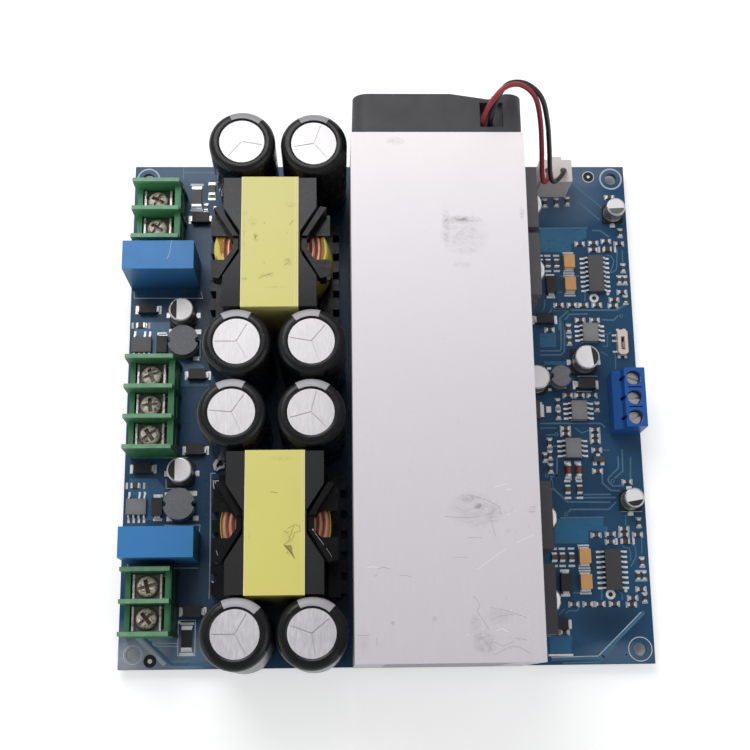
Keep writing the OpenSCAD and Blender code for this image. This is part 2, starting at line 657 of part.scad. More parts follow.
module film_capacitors() {
  color([0.2, 0.48, 0.78])
  for (p = film_pts) difference() {
    translate([p[0] - film_w / 2, p[1] - film_d / 2, top]) cube([film_w, film_d, film_h]);
    for (s = [-1, 1]) translate([p[0] + s * film_pitch / 2, p[1], top - 1])
      cylinder(r = 0.4, h = 4, $fn = 24);
  }
}
module capacitor_leads() {
  color([0.78, 0.78, 0.8]) {
    for (p = bulk_lead_pts) lead(p, 0.4, top + 2);
    for (p = film_lead_pts) lead(p, 0.4, top + 3);
  }
}

// Core outline: full width at both ends, drawn in to a waist at the middle
core_hw = core_w / 2;
waist_hw = post_d / 2 + 0.4;
module core_plan() {
  w = core_hw;
  l = core_l / 2;
  n = waist_hw;
  polygon([[w, l], [w, 8.6], [n, 2.6], [n, -2.6], [w, -8.6], [w, -l],
    [-w, -l], [-w, -8.6], [-n, -2.6], [-n, 2.6], [-w, 8.6], [-w, l]]);
}
module core_half() {
  h = core_h / 2;
  linear_extrude(core_plate) core_plan();
  difference() {
    linear_extrude(h) core_plan();
    translate([0, 0, -1]) cylinder(r = window_r, h = h + 2, $fn = 96);
  }
  cylinder(d = post_d, h = h - 0.2, $fn = 64);
}
module inductor_cores() {
  color([0.2, 0.2, 0.22])
  for (p = coil_pts) {
    translate([p[0], p[1], core_z0]) core_half();
    translate([p[0], p[1], core_z1]) rotate([180, 0, 0]) core_half();
  }
}
bob_z0 = core_z0 + core_plate + 0.1;
bob_z1 = core_z1 - core_plate - 0.1;
ridge_h = 4;
// Half width of the opening that the round window leaves in the core's side
leg_y = sqrt(window_r * window_r - core_hw * core_hw) - 0.05;
// Ridge beside the core's slanted edge
module ridge() {
  linear_extrude(ridge_h + flange_t) polygon([
    [waist_hw + 0.4, 1.6], [waist_hw + 1.7, 1.6], [core_hw + 2.4, 8.7], [core_hw + 0.9, 9]]);
}
module bobbin() {
  difference() {
    union() {
      translate([0, 0, bob_z0]) cylinder(r = flange_r, h = flange_t, $fn = 96);
      translate([0, 0, bob_z1 - flange_t]) cylinder(r = flange_r, h = flange_t, $fn = 96);
      translate([0, 0, bob_z0]) cylinder(r = bobbin_r + 0.9, h = bob_z1 - bob_z0, $fn = 64);
      for (s = [-1, 1]) scale([s, 1, 1]) {
        block(rail_in, rail_out - 1.6, -15, 15, top, bob_z0 + flange_t);
        block(rail_in - 4, rail_in + 1, -4, 4, bob_z0, bob_z0 + flange_t);
        for (i = [-2.5 : 1 : 2.5])
          block(rail_in, rail_out, i * coil_pin_pitch - 1.5, i * coil_pin_pitch + 1.5,
            top, bob_z0 + flange_t - 0.6);
        block(waist_hw + 0.9, core_hw + 3.2, -leg_y, leg_y, bob_z1 - flange_t, bob_z1);
        translate([0, 0, bob_z1 - flange_t]) ridge();
        translate([0, 0, bob_z1 - flange_t]) scale([1, -1, 1]) ridge();
        block(waist_hw + 0.4, waist_hw + 1.6, -2, 2, bob_z1 - flange_t, bob_z1 + ridge_h - 1);
      }
    }
    translate([0, 0, bob_z0 - 1]) cylinder(r = bobbin_r, h = bob_z1 - bob_z0 + 2, $fn = 64);
    for (s = [-1, 1]) scale([s, 1, 1]) translate([0, 0, bob_z1 - flange_t - 1]) linear_extrude(flange_t + 2)
      polygon([[waist_hw + 1.7, -1.4], [waist_hw + 1.7, 1.4], [waist_hw + 3.3, 3],
        [core_hw + 4, 3], [core_hw + 4, -3], [waist_hw + 3.3, -3]]);
    for (s = [-1, 1]) for (i = [-2.5 : 1 : 2.5])
      translate([s * coil_row / 2, i * coil_pin_pitch, top - 1]) cylinder(r = 0.45 + snug, h = 5, $fn = 24);
  }
}
module inductor_bobbins() {
  color([0.08, 0.08, 0.09])
  for (p = coil_pts) translate([p[0], p[1], 0]) bobbin();
}
wind_r = flange_r - 0.9;
wind_z0 = bob_z0 + flange_t + 0.05;
wind_z1 = bob_z1 - flange_t - 0.05;
// Turns show as rounded ribs on the outside and on the top of the winding
wind_pitch = 1.5;
wind_rows = floor((wind_z1 - wind_z0) / wind_pitch);
top_pitch = (wind_r - bobbin_r - 0.95) / 3;
module winding() {
  rotate_extrude($fn = 64) {
    translate([bobbin_r + 0.95, wind_z0]) square([wind_r - bobbin_r - 1.7, wind_z1 - wind_z0 - 0.7]);
    for (i = [0 : wind_rows - 1])
      translate([wind_r - wind_pitch / 2, wind_z0 + (i + 0.5) * wind_pitch])
        circle(r = wind_pitch / 2, $fn = 16);
    for (i = [0 : 2])
      translate([wind_r - (i + 0.5) * top_pitch, wind_z1 - top_pitch / 2])
        circle(r = top_pitch / 2, $fn = 16);
  }
}
module inductor_windings() {
  color([0.72, 0.4, 0.28])
  for (p = coil_pts) translate([p[0], p[1], 0]) winding();
}
module winding_tapes() {
  color([0.88, 0.8, 0.3])
  for (p = coil_pts) translate([p[0], p[1], wind_z0]) difference() {
    cylinder(r = wind_r + 0.25, h = wind_z1 - wind_z0, $fn = 64);
    translate([0, 0, -1]) cylinder(r = wind_r + 0.02, h = wind_z1 - wind_z0 + 2, $fn = 64);
  }
}
module core_tapes() {
  color([0.86, 0.82, 0.48])
  for (p = coil_pts) translate([p[0], p[1], 0]) difference() {
    block(-core_tape_w / 2, core_tape_w / 2, -core_l / 2 - tape_t, core_l / 2 + tape_t,
      core_z0 - tape_t, core_z1 + tape_t);
    block(-core_tape_w, core_tape_w, -core_l / 2, core_l / 2, core_z0, core_z1);
  }
}
module inductor_pins() {
  color([0.78, 0.78, 0.8])
  for (p = coil_pin_pts) lead(p, 0.45, top + 3.5);
}

// Barrier terminal housing with n poles along Y
module barrier_housing(t) {
  n = t[2];
  l = n * term_pitch;
  w = term_w / 2;
  translate([t[0], t[1], top]) difference() {
    union() {
      block(-w + 0.8, w + 0.4, -l / 2, l / 2, 0, term_floor);
      block(-w + 0.8, -w + 2, -l / 2, l / 2, 0, term_h - 5);
      block(w - 1.3, w + 0.2, -l / 2, l / 2, 0, term_h - 2.6);
      for (i = [0 : n]) {
        block(-w, w, -l / 2 + i * term_pitch - 0.5, -l / 2 + i * term_pitch + 0.5, 0, term_h);
        translate([0, -l / 2 + i * term_pitch + 0.5, 0]) rotate([90, 0, 0])
          linear_extrude(1) polygon([[w - 1, 0], [w + 0.8, 0], [w + 0.4, term_h - 3], [w - 1, term_h]]);
      }
    }
    for (i = [0 : n - 1]) translate([0, ((n - 1) / 2 - i) * term_pitch, 0]) {
      translate([0, 0, 1.5]) cylinder(r = 1.9, h = term_floor);
      translate([term_pin_x, 0, -1]) cylinder(r = 0.6 + snug, h = term_floor + 2, $fn = 24);
      block(-clamp_x - 0.2, clamp_x + 0.7, -clamp_y - 0.15, clamp_y + 0.15, term_floor - 1, term_floor + 1);
    }
  }
}
module rear_output_terminal() { color([0.15, 0.45, 0.28]) barrier_housing(rear_term); }
module supply_terminal() { color([0.15, 0.45, 0.28]) barrier_housing(supply_term); }
module front_output_terminal() { color([0.15, 0.45, 0.28]) barrier_housing(front_term); }
strip_z = top + term_floor - 1;
clamp_z = strip_z + strip_t;
head_z = clamp_z + clamp_t;
thread_r = 1.45;
module terminal_contacts() {
  color([0.8, 0.78, 0.72])
  for (p = term_pole_pts) translate([p[0], p[1], 0]) difference() {
    union() {
      block(-clamp_x + 0.2, clamp_x + 0.5, -clamp_y + 0.1, clamp_y - 0.1, strip_z, strip_z + strip_t);
      lead([term_pin_x, 0], 0.6, strip_z + 0.1);
    }
    translate([0, 0, strip_z - 1]) cylinder(r = thread_r + screw_gap, h = 3);
  }
}
module terminal_clamps() {
  color([0.82, 0.8, 0.78])
  for (p = term_pole_pts) translate([p[0], p[1], 0]) difference() {
    union() {
      block(-clamp_x, clamp_x, -clamp_y, clamp_y, clamp_z, clamp_z + clamp_t);
      for (s = [-1, 1]) scale([s, 1, 1])
        block(clamp_x - 0.5, clamp_x, -clamp_y, clamp_y, clamp_z, clamp_z + 1.9);
    }
    translate([0, 0, clamp_z - 1]) cylinder(r = thread_r + screw_gap, h = 3);
  }
}
screw_head_r = clamp_y - 0.2;
screw_head_h = 2.3;
module terminal_screw(i) {
  p = term_pole_pts[i];
  color([0.86, 0.84, 0.82])
  translate([p[0], p[1], head_z]) rotate([0, 0, screw_turn[i]]) difference() {
    union() {
      translate([0, 0, -4.2]) cylinder(r = thread_r, h = 4.3);
      rotate_extrude() intersection() {
        square([screw_head_r, screw_head_h]);
        translate([0, screw_head_h - 3.4]) circle(r = 3.4);
      }
    }
    translate([-screw_head_r - 1, -0.4, screw_head_h - 1.1]) cube([2 * screw_head_r + 2, 0.8, 2]);
    translate([-0.5, -1.7, screw_head_h - 1.4]) cube([1, 3.4, 2]);
  }
}

// Audio input terminal: stepped housing, wells above and wire entries on the right
module input_terminal() {
  color([0.1, 0.3, 0.66])
  difference() {
    translate([0, input_y + input_poles * input_pitch / 2, 0]) rotate([90, 0, 0])
      linear_extrude(input_poles * input_pitch)
        polygon([[input_x, top], [input_x + input_d - 0.5, top], [input_x + input_d, top + 1],
          [input_x + input_d, top + input_h], [input_x + 2.2, top + input_h],
          [input_x + 1.9, top + input_h - 2.6], [input_x, top + input_h - 4.2]]);
    for (p = input_pole_pts) translate([p[0], p[1], 0]) {
      translate([0, 0, top + 6]) cylinder(r = 1.85, h = 10);
      block(-1.8, 1.8, -1.7, 1.7, top - 1, top + 6.05);
      block(1, 5, -1.7, 1.7, top + 1.4, top + 4.8);
      translate([-2.6, 0, top + 2]) cylinder(r = 0.45, h = 10, $fn = 24);
    }
    for (s = [-1, 1])
      translate([input_pole_x - 1.6, input_y + s * input_pitch / 2 - 0.15, top + input_h - 1])
        cube([3.4, 0.3, 2]);
  }
}
cage_z = top + 0.6;
module input_cages() {
  color([0.8, 0.78, 0.72])
  for (p = input_pole_pts) translate([p[0], p[1], 0]) difference() {
    union() {
      block(-1.6, 1.6, -1.6, 1.6, cage_z, top + 5.9);
      lead([0, 0], 0.5, cage_z + 0.2);
    }
    block(-3, 3, -1.1, 1.1, top + 1.5, top + 4.7);
    translate([0, 0, top + 4]) cylinder(r = 1 + screw_gap, h = 4, $fn = 32);
  }
}
module input_screw(i) {
  p = input_pole_pts[i];
  color([0.84, 0.83, 0.82])
  translate([p[0], p[1], top]) rotate([0, 0, 25 * i - 20]) difference() {
    union() {
      translate([0, 0, 4.9]) cylinder(r = 1, h = 2);
      translate([0, 0, 6.3]) cylinder(r = 1.6, h = 1.7);
    }
    translate([-3, -0.2, 7.2]) cube([6, 0.4, 2]);
  }
}

// Flat-pack power transistor standing on its leads, screwed to the heatsink
module power_transistors() {
  color([0.17, 0.17, 0.18]) {
    for (y = power_ys) difference() {
      block(power_face, power_out, y - power_w / 2, y + power_w / 2, power_z0, power_z1);
      xcyl(y, top + power_screw_z, power_face - 1, power_out + 1, m3_r + 0.15);
      for (s = [-1, 1]) translate([power_face + 1.9, y + s * power_w / 2, power_z1 - 5.4])
        rotate([0, 90, 0]) cylinder(r = 1.8, h = power_t);
    }
    difference() {
      union() {
        block(power_face, power_face + 4.4, reg_y - 5, reg_y + 5, top + 4, top + 13.4);
        block(power_face, power_face + 1.3, reg_y - 5, reg_y + 5, top + 13.3, top + 23);
      }
      xcyl(reg_y, top + power_screw_z, power_face - 1, power_out + 1, m3_r + 0.15);
    }
  }
}
module transistor_leads() {
  color([0.78, 0.78, 0.8]) {
    for (p = power_lead_pts) lead(p, 0.6, power_z0);
    for (p = reg_lead_pts) lead(p, 0.45, top + 4);
  }
}
module transistor_pads() {
  color([0.55, 0.56, 0.58]) {
    for (y = power_ys) difference() {
      block(sink_right, power_face, y - power_w / 2 - 0.6, y + power_w / 2 + 0.6,
        power_z0 - 1, power_z1 + 0.8);
      xcyl(y, top + power_screw_z, sink_right - 1, power_face + 1, m3_r + 0.15);
    }
    difference() {
      block(sink_right, power_face, reg_y - 5.6, reg_y + 5.6, top + 3.4, top + 23.6);
      xcyl(reg_y, top + power_screw_z, sink_right - 1, power_face + 1, m3_r + 0.15);
    }
  }
}
module transistor_screws() {
  color([0.8, 0.79, 0.78]) {
    for (y = power_ys) translate([power_out, y, top + power_screw_z]) rotate([0, -90, 0])
      pan_screw(power_t + pad_t + 5.5, m3_r, m3_head_r, m3_head_h);
    translate([power_face + 1.3, reg_y, top + power_screw_z]) rotate([0, -90, 0])
      pan_screw(1.3 + pad_t + 5.5, m3_r, m3_head_r, m3_head_h);
  }
}

// Small-outline package body: leads leave at both ends of its x direction
module so_body(len) {
  block(-1.95, 1.95, -len / 2, len / 2, 0.2, 1.7);
}
// Gull-wing lead beside a body edge at x = 1.95
module gull() {
  translate([0, 0.21, 0]) rotate([90, 0, 0]) linear_extrude(0.42)
    polygon([
      [1.95, 0.75], [2.45, 0.75], [2.55, 0], [3.1, 0],
      [3.1, 0.22], [2.72, 0.22], [2.62, 0.97], [1.95, 0.97]
    ]);
}
// Places of the leads on one side; skip leaves one out
module gulls(n, skip) {
  for (s = [-1, 1]) for (i = [0 : n - 1]) if (!(s == skip && i == 1))
    scale([s, 1, 1]) translate([0, ((n - 1) / 2 - i) * 1.27, 0]) gull();
}
module chip_bodies() {
  color([0.25, 0.25, 0.27]) {
    for (c = chan_pts) translate([c[0], c[1], top]) so_body(9.9);
    for (c = op_pts) translate([c[0], c[1], top]) so_body(4.9);
    for (c = aux_pts) translate([c[0] - 6.7, c[1] - 0.3, top]) rotate([0, 0, 90]) so_body(4.9);
    translate([sot_at[0], sot_at[1], top]) block(-1.45, 1.45, -0.65, 0.65, 0.1, 1.1);
    translate([tab_at[0], tab_at[1], top]) block(-1.8, 1.8, -2.3, 2.3, 0.1, 2);
  }
}
module chip_leads() {
  color([0.82, 0.82, 0.84]) {
    for (c = chan_pts) translate([c[0], c[1], top]) gulls(8, 0);
    for (c = op_pts) translate([c[0], c[1], top]) gulls(4, 0);
    for (c = aux_pts) translate([c[0] - 6.7, c[1] - 0.3, top]) rotate([0, 0, 90]) gulls(4, 1);
    translate([sot_at[0], sot_at[1], top]) {
      for (x = [-0.95, 0.95]) block(x - 0.2, x + 0.2, -1.25, -0.65, 0, 0.3);
      block(-0.2, 0.2, 0.65, 1.25, 0, 0.3);
    }
    translate([tab_at[0], tab_at[1], top]) block(1.8, 3, -1.6, 1.6, 0, 0.5);
  }
}
module tantalum_capacitors() {
  color([0.85, 0.6, 0.25])
  for (p = tantalum_pts) seat(p) block(-1.75, 1.75, -1.4, 1.4, 0.15, 2);
}
module small_can_capacitors() {
  color([0.84, 0.84, 0.86])
  for (p = can_pts) translate([p[0], p[1], top + 0.9]) rotate_extrude() difference() {
    union() {
      square([p[2] / 2, can_h - 1.3]);
      square([p[2] / 2 - 0.4, can_h - 0.9]);
      translate([p[2] / 2 - 0.4, can_h - 1.3]) circle(r = 0.4);
    }
    translate([p[2] / 2 + 0.25, 0.8]) circle(r = 0.5);
    translate([-3, -1]) square([3, 9]);
  }
}
module small_can_bases() {
  color([0.1, 0.1, 0.11])
  for (p = can_pts) seat([p[0], p[1], p[3]]) {
    h = p[2] / 2 + 0.15;
    linear_extrude(0.9) polygon([[-h, -h], [h - 1, -h], [h, -h + 1], [h, h - 1], [h - 1, h], [-h, h]]);
  }
}
module small_inductors() {
  color([0.3, 0.3, 0.32])
  for (p = drum_pts) translate([p[0], p[1], top]) difference() {
    union() {
      translate([0, 0, 0.3]) cylinder(d = p[2], h = 1.2);
      translate([0, 0, 0.3]) cylinder(d = p[2] - 1.2, h = 4);
      translate([0, 0, 3.2]) cylinder(d = p[2], h = 1.3);
    }
    for (s = [-1, 1]) translate([s * p[2] / 2, 0, 0]) cylinder(r = 0.8, h = 6, $fn = 24);
  }
}
module power_resistors() {
  color([0.14, 0.14, 0.15])
  for (p = resistor_pts) seat(p) block(-2.1, 2.1, -1.25, 1.25, 0, 0.65);
}
module diodes() {
  color([0.13, 0.13, 0.14])
  for (p = diode_pts) seat(p) block(-2.15, 2.15, -1.3, 1.3, 0.15, 2.2);
}
module glass_diodes() {
  color([0.75, 0.32, 0.16])
  for (p = glass_pts) translate([p[0], p[1], top]) ycyl(0, 0.75, -1.05, 1.05, 0.65);
}
module small_chips() {
  color([0.3, 0.27, 0.26]) {
    for (p = chips) seat(p) block(-0.5, 0.5, -0.4, 0.4, 0, 0.5);
    for (p = big_chips) seat(p) block(-0.65, 0.65, -0.62, 0.62, 0, 0.6);
    for (p = tall_chips) seat(p) block(-1.1, 1.1, -0.8, 0.8, 0, 0.9);
  }
}
// Metal ends of a two-ended part: body half length, outer half length, half width, height
module ends(x0, x1, w, h) {
  for (s = [-1, 1]) scale([s, 1, 1]) block(x0, x1, -w, w, 0, h);
}
module end_caps() {
  color([0.85, 0.85, 0.87]) {
    for (p = chips) seat(p) ends(0.5, 0.85, 0.42, 0.52);
    for (p = big_chips) seat(p) ends(0.65, 1.05, 0.64, 0.62);
    for (p = tall_chips) seat(p) ends(1.1, 1.65, 0.82, 0.92);
    for (p = resistor_pts) seat(p) ends(2.1, 2.7, 1.25, 0.67);
    for (p = tantalum_pts) seat(p) ends(1.75, 2.1, 1.1, 1);
    for (p = diode_pts) seat(p) ends(2.15, 2.75, 0.75, 1);
    for (p = glass_pts) for (s = [-1, 1]) translate([p[0], p[1], top]) scale([1, s, 1])
      ycyl(0, 0.75, 1.05, 1.55, 0.75);
    for (p = can_pts) seat([p[0], p[1], p[3]]) for (s = [-1, 1]) scale([s, 1, 1])
      block(p[2] / 2 + 0.15, p[2] / 2 + 0.7, -0.45, 0.45, 0, 0.3);
    translate([switch_at[0], switch_at[1], top]) {
      for (y = [-2.2, 0.7, 2.2]) translate([0, y, 0]) block(-2.4, -1.3, -0.25, 0.25, 0, 0.3);
      for (sx = [-1, 1]) for (sy = [-1, 1]) scale([sx, sy, 1]) block(0.5, 1.2, 3.25, 3.95, 0, 0.4);
    }
  }
}
slot_l = knob_travel + 1.9;
module switch_body() {
  color([0.85, 0.76, 0.68])
  translate([switch_at[0], switch_at[1], top]) difference() {
    linear_extrude(2) polygon([[-1.3, -2.7], [-0.8, -3.25], [0.8, -3.25], [1.3, -2.7],
      [1.3, 2.7], [0.8, 3.25], [-0.8, 3.25], [-1.3, 2.7]]);
    block(-0.45, 0.45, -1.95, -1.95 + slot_l, -1, 3);
    block(-0.95, 0.95, -2.45, -2.45 + slot_l + 1, 0.3, 1.3);
  }
}
module switch_knob() {
  color([0.5, 0.38, 0.3])
  translate([switch_at[0], switch_at[1] - 1, top]) {
    block(-0.3, 0.3, -0.75, 0.75, 0.5, 2.5);
    block(-0.75, 0.75, -1.15, 1.15, 0.5, 1.1);
  }
}

circuit_board();
solder_joints();
heatsink();
heatsink_screws();
fan_frame();
fan_bearing();
fan_stator();
fan_rotor();
fan_magnet();
fan_shaft();
fan_screws();
fan_lead_red();
fan_lead_black();
fan_plug();
fan_header();
fan_contacts();
storage_capacitors();
capacitor_sleeves();
film_capacitors();
capacitor_leads();
inductor_cores();
inductor_bobbins();
inductor_windings();
winding_tapes();
core_tapes();
inductor_pins();
rear_output_terminal();
supply_terminal();
front_output_terminal();
terminal_contacts();
terminal_clamps();
terminal_screw(0);  // terminal_screw_1
terminal_screw(1);  // terminal_screw_2
terminal_screw(2);  // terminal_screw_3
terminal_screw(3);  // terminal_screw_4
terminal_screw(4);  // terminal_screw_5
terminal_screw(5);  // terminal_screw_6
terminal_screw(6);  // terminal_screw_7
input_terminal();
input_cages();
input_screw(0);  // input_screw_1
input_screw(1);  // input_screw_2
input_screw(2);  // input_screw_3
power_transistors();
transistor_leads();
transistor_pads();
transistor_screws();
chip_bodies();
chip_leads();
tantalum_capacitors();
small_can_capacitors();
small_can_bases();
small_inductors();
power_resistors();
diodes();
glass_diodes();
small_chips();
end_caps();
switch_body();
switch_knob();
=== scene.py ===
import math

import bpy
from mathutils import Matrix, Vector


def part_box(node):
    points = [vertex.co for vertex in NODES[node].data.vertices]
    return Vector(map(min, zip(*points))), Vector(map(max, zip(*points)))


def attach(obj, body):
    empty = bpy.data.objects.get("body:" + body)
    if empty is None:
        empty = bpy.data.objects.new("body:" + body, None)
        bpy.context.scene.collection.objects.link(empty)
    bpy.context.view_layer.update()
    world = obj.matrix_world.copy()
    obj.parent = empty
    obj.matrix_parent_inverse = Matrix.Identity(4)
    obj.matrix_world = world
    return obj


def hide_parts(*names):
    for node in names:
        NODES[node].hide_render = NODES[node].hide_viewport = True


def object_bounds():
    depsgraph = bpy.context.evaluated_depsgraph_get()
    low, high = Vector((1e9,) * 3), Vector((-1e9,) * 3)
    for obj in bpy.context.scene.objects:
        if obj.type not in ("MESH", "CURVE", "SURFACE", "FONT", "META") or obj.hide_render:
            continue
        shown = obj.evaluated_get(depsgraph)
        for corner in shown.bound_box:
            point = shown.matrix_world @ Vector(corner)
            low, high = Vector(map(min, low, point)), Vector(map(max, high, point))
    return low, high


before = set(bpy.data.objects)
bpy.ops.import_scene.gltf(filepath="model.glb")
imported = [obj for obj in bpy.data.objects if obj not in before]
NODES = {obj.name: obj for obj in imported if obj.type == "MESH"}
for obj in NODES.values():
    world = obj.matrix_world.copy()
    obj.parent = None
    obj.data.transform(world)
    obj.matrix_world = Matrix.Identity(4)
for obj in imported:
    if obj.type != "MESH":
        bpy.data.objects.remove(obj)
CAD_BOX = [list(corner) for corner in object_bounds()]
MM = 0.001
BODY = "amplifier"


def top_of(node):
    """Height of a node's highest point, in mm."""
    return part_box(node)[1][2] / MM


BOARD_TOP = top_of("circuit_board")
SINK_TOP = top_of("heatsink")
CAN_TOP = top_of("small_can_capacitors")
FILM_TOP = top_of("film_capacitors")
BOBBIN_TOP = top_of("inductor_bobbins")
SPOOL_TOP = top_of("winding_tapes")
TAPE_TOP = top_of("core_tapes")
BARRIER_TOP = top_of("supply_terminal")
CLAMP_TOP = top_of("terminal_clamps")
SCREW_TOP = top_of("terminal_screw_1")
# Half of the square board's width, in metres
BOARD_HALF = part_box("circuit_board")[1][0]


def new_object(data):
    """Put new data into the scene as an object of the same name."""
    thing = bpy.data.objects.new(data.name, data)
    bpy.context.scene.collection.objects.link(thing)
    return thing


# Camera: place in mm, angles in radians, focal length in pixels of a 750 pixel wide picture
CAM = (-12.22, -71.091, 311.486)
PITCH, YAW, ROLL = -0.2489, 0.03208, 0.01309
FOCAL = 1251.535
PICTURE = 750.0
SENSOR = 36.0
turn = Matrix.Rotation(ROLL, 3, "Z") @ Matrix.Rotation(PITCH, 3, "X") @ Matrix.Rotation(YAW, 3, "Y")
lens = bpy.data.cameras.new("camera")
lens.sensor_width = SENSOR
lens.lens = FOCAL * SENSOR / PICTURE
lens.clip_start = 0.01
lens.clip_end = 20.0
cam = new_object(lens)
cam.matrix_world = Matrix.Translation(Vector(CAM) * MM) @ turn.transposed().to_4x4()
bpy.context.scene.camera = cam


class Tree:
    """The node tree of a material or world, with short calls that add nodes and join them."""

    def __init__(self, owner):
        owner.use_nodes = True
        self.nodes = owner.node_tree.nodes
        self.links = owner.node_tree.links
        self.nodes.clear()

    def put(self, value, socket):
        """Link another node's output to a socket, or set its value."""
        if isinstance(value, bpy.types.NodeSocket):
            self.links.new(value, socket)
        elif socket.type == "RGBA":
            socket.default_value = (*value, 1)
        else:
            socket.default_value = value

    def add(self, kind, **values):
        """New node with values or links on its named inputs."""
        node = self.nodes.new("ShaderNode" + kind)
        for name, value in values.items():
            self.put(value, node.inputs[name])
        return node


MATERIALS = {}


class Surface(Tree):
    """A material in the making, kept under its name."""

    def __init__(self, name):
        MATERIALS[name] = bpy.data.materials.new(name)
        super().__init__(MATERIALS[name])
        self.output = self.add("OutputMaterial").inputs[0]
        self.shader = self.add("BsdfPrincipled")
        self.put(self.shader.outputs[0], self.output)
        self.point = self.add("TexCoord").outputs["Object"]

    def math(self, operation, a, b=0.0, clamp=False):
        node = self.add("Math")
        node.operation = operation
        node.use_clamp = clamp
        self.put(a, node.inputs[0])
        self.put(b, node.inputs[1])
        return node.outputs[0]

    def times(self, a, b):
        return self.math("MULTIPLY", a, b)

    def plus(self, a, b, clamp=False):
        return self.math("ADD", a, b, clamp)

    def minus(self, a, b, clamp=False):
        return self.math("SUBTRACT", a, b, clamp)

    def over(self, a, b, clamp=False):
        return self.math("DIVIDE", a, b, clamp)

    def noise(self, scale, detail=3, rough=0.55, distort=0.0, stretch=None):
        """Cloudy noise from 0 to 1; stretch scales it along each axis."""
        point = self.point
        if stretch:
            point = self.add("Mapping", Vector=point, Scale=stretch).outputs[0]
        values = {"Scale": scale, "Detail": detail, "Roughness": rough, "Distortion": distort}
        return self.add("TexNoise", Vector=point, **values).outputs["Fac"]

    def stops(self, value, stops):
        """Tones between stops, each a place from 0 to 1 and a colour."""
        node = self.add("ValToRGB")
        self.put(value, node.inputs[0])
        elements = node.color_ramp.elements
        while len(elements) < len(stops):
            elements.new(0.5)
        for element, (at, colour) in zip(elements, stops):
            element.position = at
            element.color = (*colour, 1)
        return node.outputs[0]

    def ramp(self, value, start, end, low=0.0, high=1.0):
        """low up to start, high from end on, straight between."""
        return self.stops(value, [(start, (low,) * 3), (end, (high,) * 3)])

    def mix(self, share, first, second, most=None):
        """first where share is 0 and second where it is 1; most scales the share."""
        if most is not None:
            share = self.times(share, most)
        node = self.add("Mix")
        node.data_type = "RGBA"
        for index, value in ((0, share), (6, first), (7, second)):
            self.put(value, node.inputs[index])
        return node.outputs[2]

    def bump(self, height, strength, depth=0.1):
        """Bumps of a height map, depth in mm."""
        return self.add("Bump", Strength=strength, Distance=depth * MM, Height=height).outputs[0]

    def along(self, axis):
        """Where the point lies along an axis, in metres."""
        return self.add("SeparateXYZ", Vector=self.point).outputs[axis]

    def between(self, axis, low, high):
        """0 where the point lies at low along an axis, 1 at high, straight between; in mm."""
        return self.over(self.minus(self.along(axis), low * MM), (high - low) * MM, True)

    def spots(self, places):
        """Soft elliptical patches seen from above: centre x, y, half sizes in mm, strength."""
        x, y = self.along("X"), self.along("Y")
        total = 0.0
        for centre_x, centre_y, half_x, half_y, strength in places:
            u = self.over(self.minus(x, centre_x * MM), half_x * MM)
            v = self.over(self.minus(y, centre_y * MM), half_y * MM)
            inside = self.minus(1.0, self.plus(self.times(u, u), self.times(v, v)), True)
            total = self.plus(total, self.times(inside, strength), True)
        return total

    def finish(self, colour, rough, normal=None, metal=0.0, gloss=0.3, coat=0.0, coat_rough=0.15):
        """Join everything to the shader."""
        values = {"Base Color": colour, "Roughness": rough, "Metallic": metal, "Specular IOR Level": gloss,
                  "Coat Weight": coat, "Coat Roughness": coat_rough}
        for name, value in values.items():
            self.put(value, self.shader.inputs[name])
        if normal:
            self.put(normal, self.shader.inputs["Normal"])


def tone(colour, share):
    """A colour made darker or lighter."""
    return tuple(part * share for part in colour)


def plain(name, colour, rough, vary=0.12, grain=900, bump=0.12, gloss=0.3, coat=0.0, metal=0.0):
    """A moulded or metal surface: gentle colour drift, roughness drift and fine grain."""
    mat = Surface(name)
    drift = mat.ramp(mat.noise(120), 0.3, 0.7)
    mat.finish(
        mat.mix(drift, tone(colour, 1 - vary), tone(colour, 1 + vary)),
        mat.ramp(mat.noise(300, 2), 0.25, 0.8, rough - 0.08, rough + 0.1),
        mat.bump(mat.noise(grain, 2), bump),
        metal, gloss, coat,
    )


# Paler stretches of the solder mask over wide copper and along the rear edge; at the front left corner,
# painted glare
BOARD_PALE_AND_GLARE = [
    (-61, -60, 9, 8, 1), (-50, -61, 15, 6, 0.7), (-50, 63, 16, 4, 0.3), (54, 63.5, 16, 5, 0.42),
    (50, 55, 12, 8, 0.42), (56, -63, 12, 4, 0.34), (-62, -36, 4, 16, 0.2),
    (-44.5, 44, 3, 9, 0.2), (-44, -45, 5, 7, 0.3),
]
# Pale glare of the varnish at the front left corner
BOARD_GLARE = [(-62.5, -63, 6, 5, 0.9), (-58, -58, 6, 6, 0.45), (-52, -64.5, 8, 2, 0.35)]
# Painted shade: deeper blue-black stretches of the board beside the heatsink, between parts and round the
# small circuits
BOARD_PAINTED_SHADE = [
    (42, -15, 10, 14, 0.5), (52, 30, 9, 14, 0.25), (53, -22, 8, 9, 0.35), (45, 2, 8, 12, 0.4),
    (50, -42, 12, 9, 0.3), (-30, 0, 18, 60, 0.7), (-46, 24, 7, 10, 1), (-50, 10, 7, 8, 0.5),
    (55, -55, 10, 6, 0.9),
]
# Waves of the glass cloth under the mask, in radians per metre
WEAVE = 9000.0


